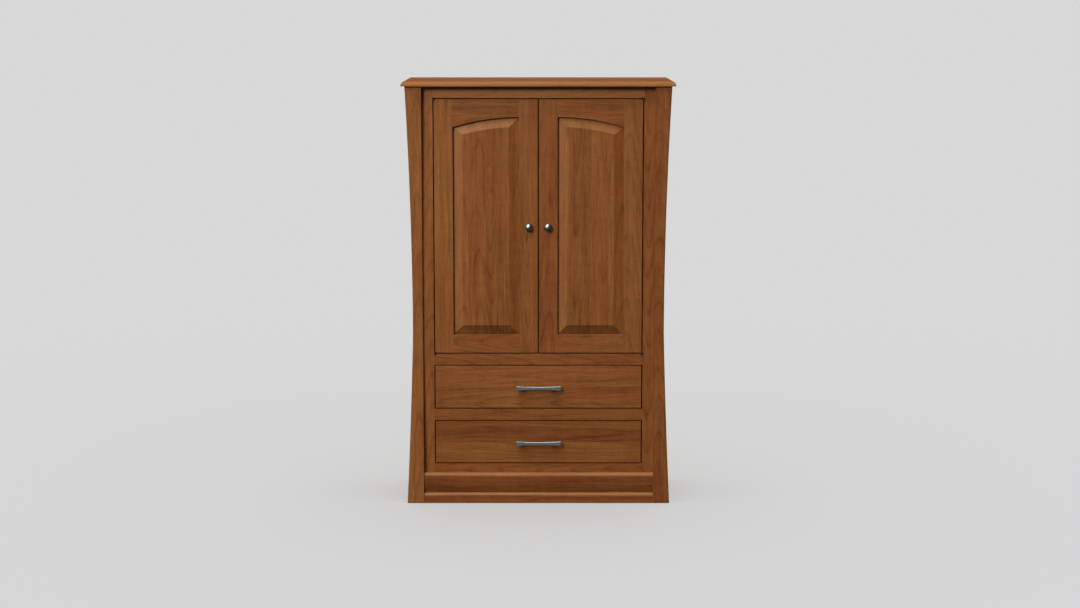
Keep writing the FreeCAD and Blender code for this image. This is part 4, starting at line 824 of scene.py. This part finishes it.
# Screws of the back and of a slide, in millimetres from the back's middle and the slide's front.
# A slide's screws stand on its web, and a pull's lie this far in from the ends of their pair.
BACK_SCREW_PLACES = range(-440, 441, 176)
SLIDE_SCREW_PLACES = (35, 150, 265, 372)
SLIDE_WEB = 1.4 * MM
PULL_SCREW_INSET = 4.2 * MM


def add_back_screws():
    """Two rows of screws through the back, into the deck and the bottom board."""
    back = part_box("back_panel")[1][1]
    rows = [sum(corner[2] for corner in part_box(node)) / 2
            for node in ("compartment_deck", "bottom_board")]
    places = [(x * MM, back, z) for x in BACK_SCREW_PLACES for z in rows]
    add_screws("back_panel_screws", "case", places, (0, 1, 0), BACK_HEAD)


def add_drawer_screws(level):
    """Screws that hold the slides to one drawer's sides, and the crowns of its pull screws."""
    body = f"{level}_drawer"
    low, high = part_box(f"{level}_slide_drawer_members")
    middle = (low[2] + high[2]) / 2
    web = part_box(f"{level}_drawer_side_right")[1][0] + SLIDE_WEB
    for side, name in ((1, "right"), (-1, "left")):
        places = [(side * web, low[1] + y * MM, middle) for y in SLIDE_SCREW_PLACES]
        add_screws(f"{level}_slide_screws_{name}", body, places, (side, 0, 0), SLIDE_HEAD)
    low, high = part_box(f"{level}_pull_screws")
    middle = (low[2] + high[2]) / 2
    places = [(x, high[1], middle) for x in (low[0] + PULL_SCREW_INSET, high[0] - PULL_SCREW_INSET)]
    add_screws(f"{level}_pull_screw_crowns", body, places, (0, 1, 0), PULL_HEAD)


# How much darker each board is, or paler below nought. Part of it is the tone of its stock, and
# part is painted light and shade: the top rail is painted paler against the shade under the top
# board, the top board paler so that its lip looks lit, and the rails and drawer fronts darker
# towards the bottom.
DARKER = {
    "top_board": -0.12, "face_top_rail": -0.4, "face_mid_rail": -0.12, "face_drawer_rail": 0.14,
    "face_bottom_rail": 0.2, "upper_drawer_front": -0.16, "lower_drawer_front": 0.2,
    "face_stile_right": 0.03, "face_stile_left": 0.07, "front_post_right": 0.06,
    "door_hinge_stile_right": -0.18, "door_hinge_stile_left": 0.04, "base_moulding": -0.05,
}

# Light and shade painted into the colour, as add_wood takes it: paler on the panels' bevels that
# face up and left and darker on those that face down, paler on all of the top board that isn't
# level and darker on its upper face, and paler on the base's beads where they face up.
BEVELLED = (0.1, 0.25)
# The panels' bevels: painted light where they face up, painted shade where they face down, and a
# painted sheen where they face left.
PANEL_PAINTED_SHADES = [("up", *BEVELLED, "painted_light", 0.25), ("down", *BEVELLED, "gum", 0.28),
               ("left", *BEVELLED, "worn", 0.14)]
PAINTED_SHADES = {
    # The top board: a painted highlight on its lip and edges, and painted shade on its upper face.
    "top_board": [("level", 0.97, 0.90, "worn", 0.5), ("up", 0.90, 0.98, "gum", 0.2)],
    # The base: a painted highlight on its beads where they face up.
    "base_moulding": [("up", 0.15, 0.55, "worn", 0.35)],
    "door_panel_right": PANEL_PAINTED_SHADES, "door_panel_left": PANEL_PAINTED_SHADES,
}

# Each wooden node with its grain, its timber, and the staves glued side by side across it.
BOARDS = [
    ("top_board", FLAT_ACROSS, DULL_CHERRY, 5), ("face_top_rail", LYING, CHERRY, 1),
    ("face_mid_rail", LYING, CHERRY, 1), ("face_drawer_rail", LYING, CHERRY, 1),
    ("face_bottom_rail", LYING, CHERRY, 1), ("base_moulding", LYING, CHERRY, 1),
    ("side_top_rails", SIDE_LYING, CHERRY, 1), ("side_bottom_rails", SIDE_LYING, CHERRY, 1),
    ("compartment_deck", FLAT_ACROSS, CHERRY, 3), ("bottom_board", FLAT_ACROSS, CHERRY, 3),
    ("adjustable_shelf", FLAT_ACROSS, CHERRY, 3), ("slide_cleats", SIDE_LYING, MAPLE, 1),
]
for side in ("right", "left"):
    BOARDS += [
        (f"front_post_{side}", UPRIGHT, CHERRY, 1), (f"rear_post_{side}", UPRIGHT, CHERRY, 1),
        (f"side_panel_{side}", SIDE_UPRIGHT, CHERRY, 4), (f"face_stile_{side}", UPRIGHT, CHERRY, 1),
        (f"door_hinge_stile_{side}", UPRIGHT, CHERRY, 1),
        (f"door_meeting_stile_{side}", UPRIGHT, CHERRY, 1),
        (f"door_top_rail_{side}", LYING, CHERRY, 1),
        (f"door_bottom_rail_{side}", LYING, CHERRY, 1),
        (f"door_panel_{side}", UPRIGHT, CHERRY, 4),
    ]
for level in ("upper", "lower"):
    BOARDS += [
        (f"{level}_drawer_front", LYING, CHERRY, 2),
        (f"{level}_drawer_side_right", SIDE_LYING, MAPLE, 2),
        (f"{level}_drawer_side_left", SIDE_LYING, MAPLE, 2),
        (f"{level}_drawer_back", LYING, MAPLE, 2),
    ]

# Each plywood node with its grain, the staves of its face veneer, and the axis of its layers.
PLYWOOD = [("back_panel", UPRIGHT, 4, "Y"), ("upper_drawer_bottom", FLAT_ACROSS, 2, "Z"),
           ("lower_drawer_bottom", FLAT_ACROSS, 2, "Z")]

grain_group = make_grain_group()
for node, grain, timber, staves in BOARDS:
    add_wood(node, grain, timber, staves, DARKER.get(node, 0.0), light_and_shade=PAINTED_SHADES.get(node, ()))
for node, grain, staves, axis in PLYWOOD:
    add_wood(node, grain, BIRCH_PLY, staves, pith=PEELED_PITH, plies=(axis, PLY_THICKNESS))

# The finishes of the record's other material slots. A metal's colours are linear.
METALS = {
    # Polished nickel has a highlight painted on its knobs' upper left front, facing the lamps.
    "polished_nickel": {"colour": (0.05, 0.05, 0.052), "worn": (0.3, 0.3, 0.3), "finish": 0.36,
                        "mottle": 0.03, "painted_highlight": (0.3, 0.3, 0.3)},
    "pewter": {"colour": (0.14, 0.145, 0.15), "worn": (0.42, 0.42, 0.43), "finish": 0.34,
               "brushed": "X"},
    "bronze": {"colour": (0.05, 0.032, 0.02), "worn": (0.36, 0.22, 0.11), "finish": 0.42},
    "black_zinc": {"colour": (0.05, 0.05, 0.055), "worn": (0.3, 0.3, 0.32), "finish": 0.42,
                   "brushed": "Y"},
    "zinc_steel": {"colour": (0.5, 0.51, 0.53), "worn": (0.75, 0.76, 0.78), "finish": 0.32,
                   "brushed": "Y"},
}
PLASTICS = {
    "brown_plastic": {"colour": linear(62, 38, 24), "pale": linear(98, 66, 45)},
    "black_plastic": {"colour": linear(24, 23, 22), "pale": linear(58, 56, 54)},
}
HARDWARE = {slot: metal_material(slot, **look) for slot, look in METALS.items()}
HARDWARE.update((slot, plastic_material(slot, **look)) for slot, look in PLASTICS.items())
for item in frame["record"]["subparts"]:
    if item["material_slot"] in HARDWARE:
        dress(nodes[item["node"]], HARDWARE[item["material_slot"]])

add_hinge_screws()
add_catch()
add_back_screws()
add_drawer_screws("upper")
add_drawer_screws("lower")

add_world()
add_lights(add_floor())
bpy.context.scene.view_settings.view_transform = "Standard"
add_camera()
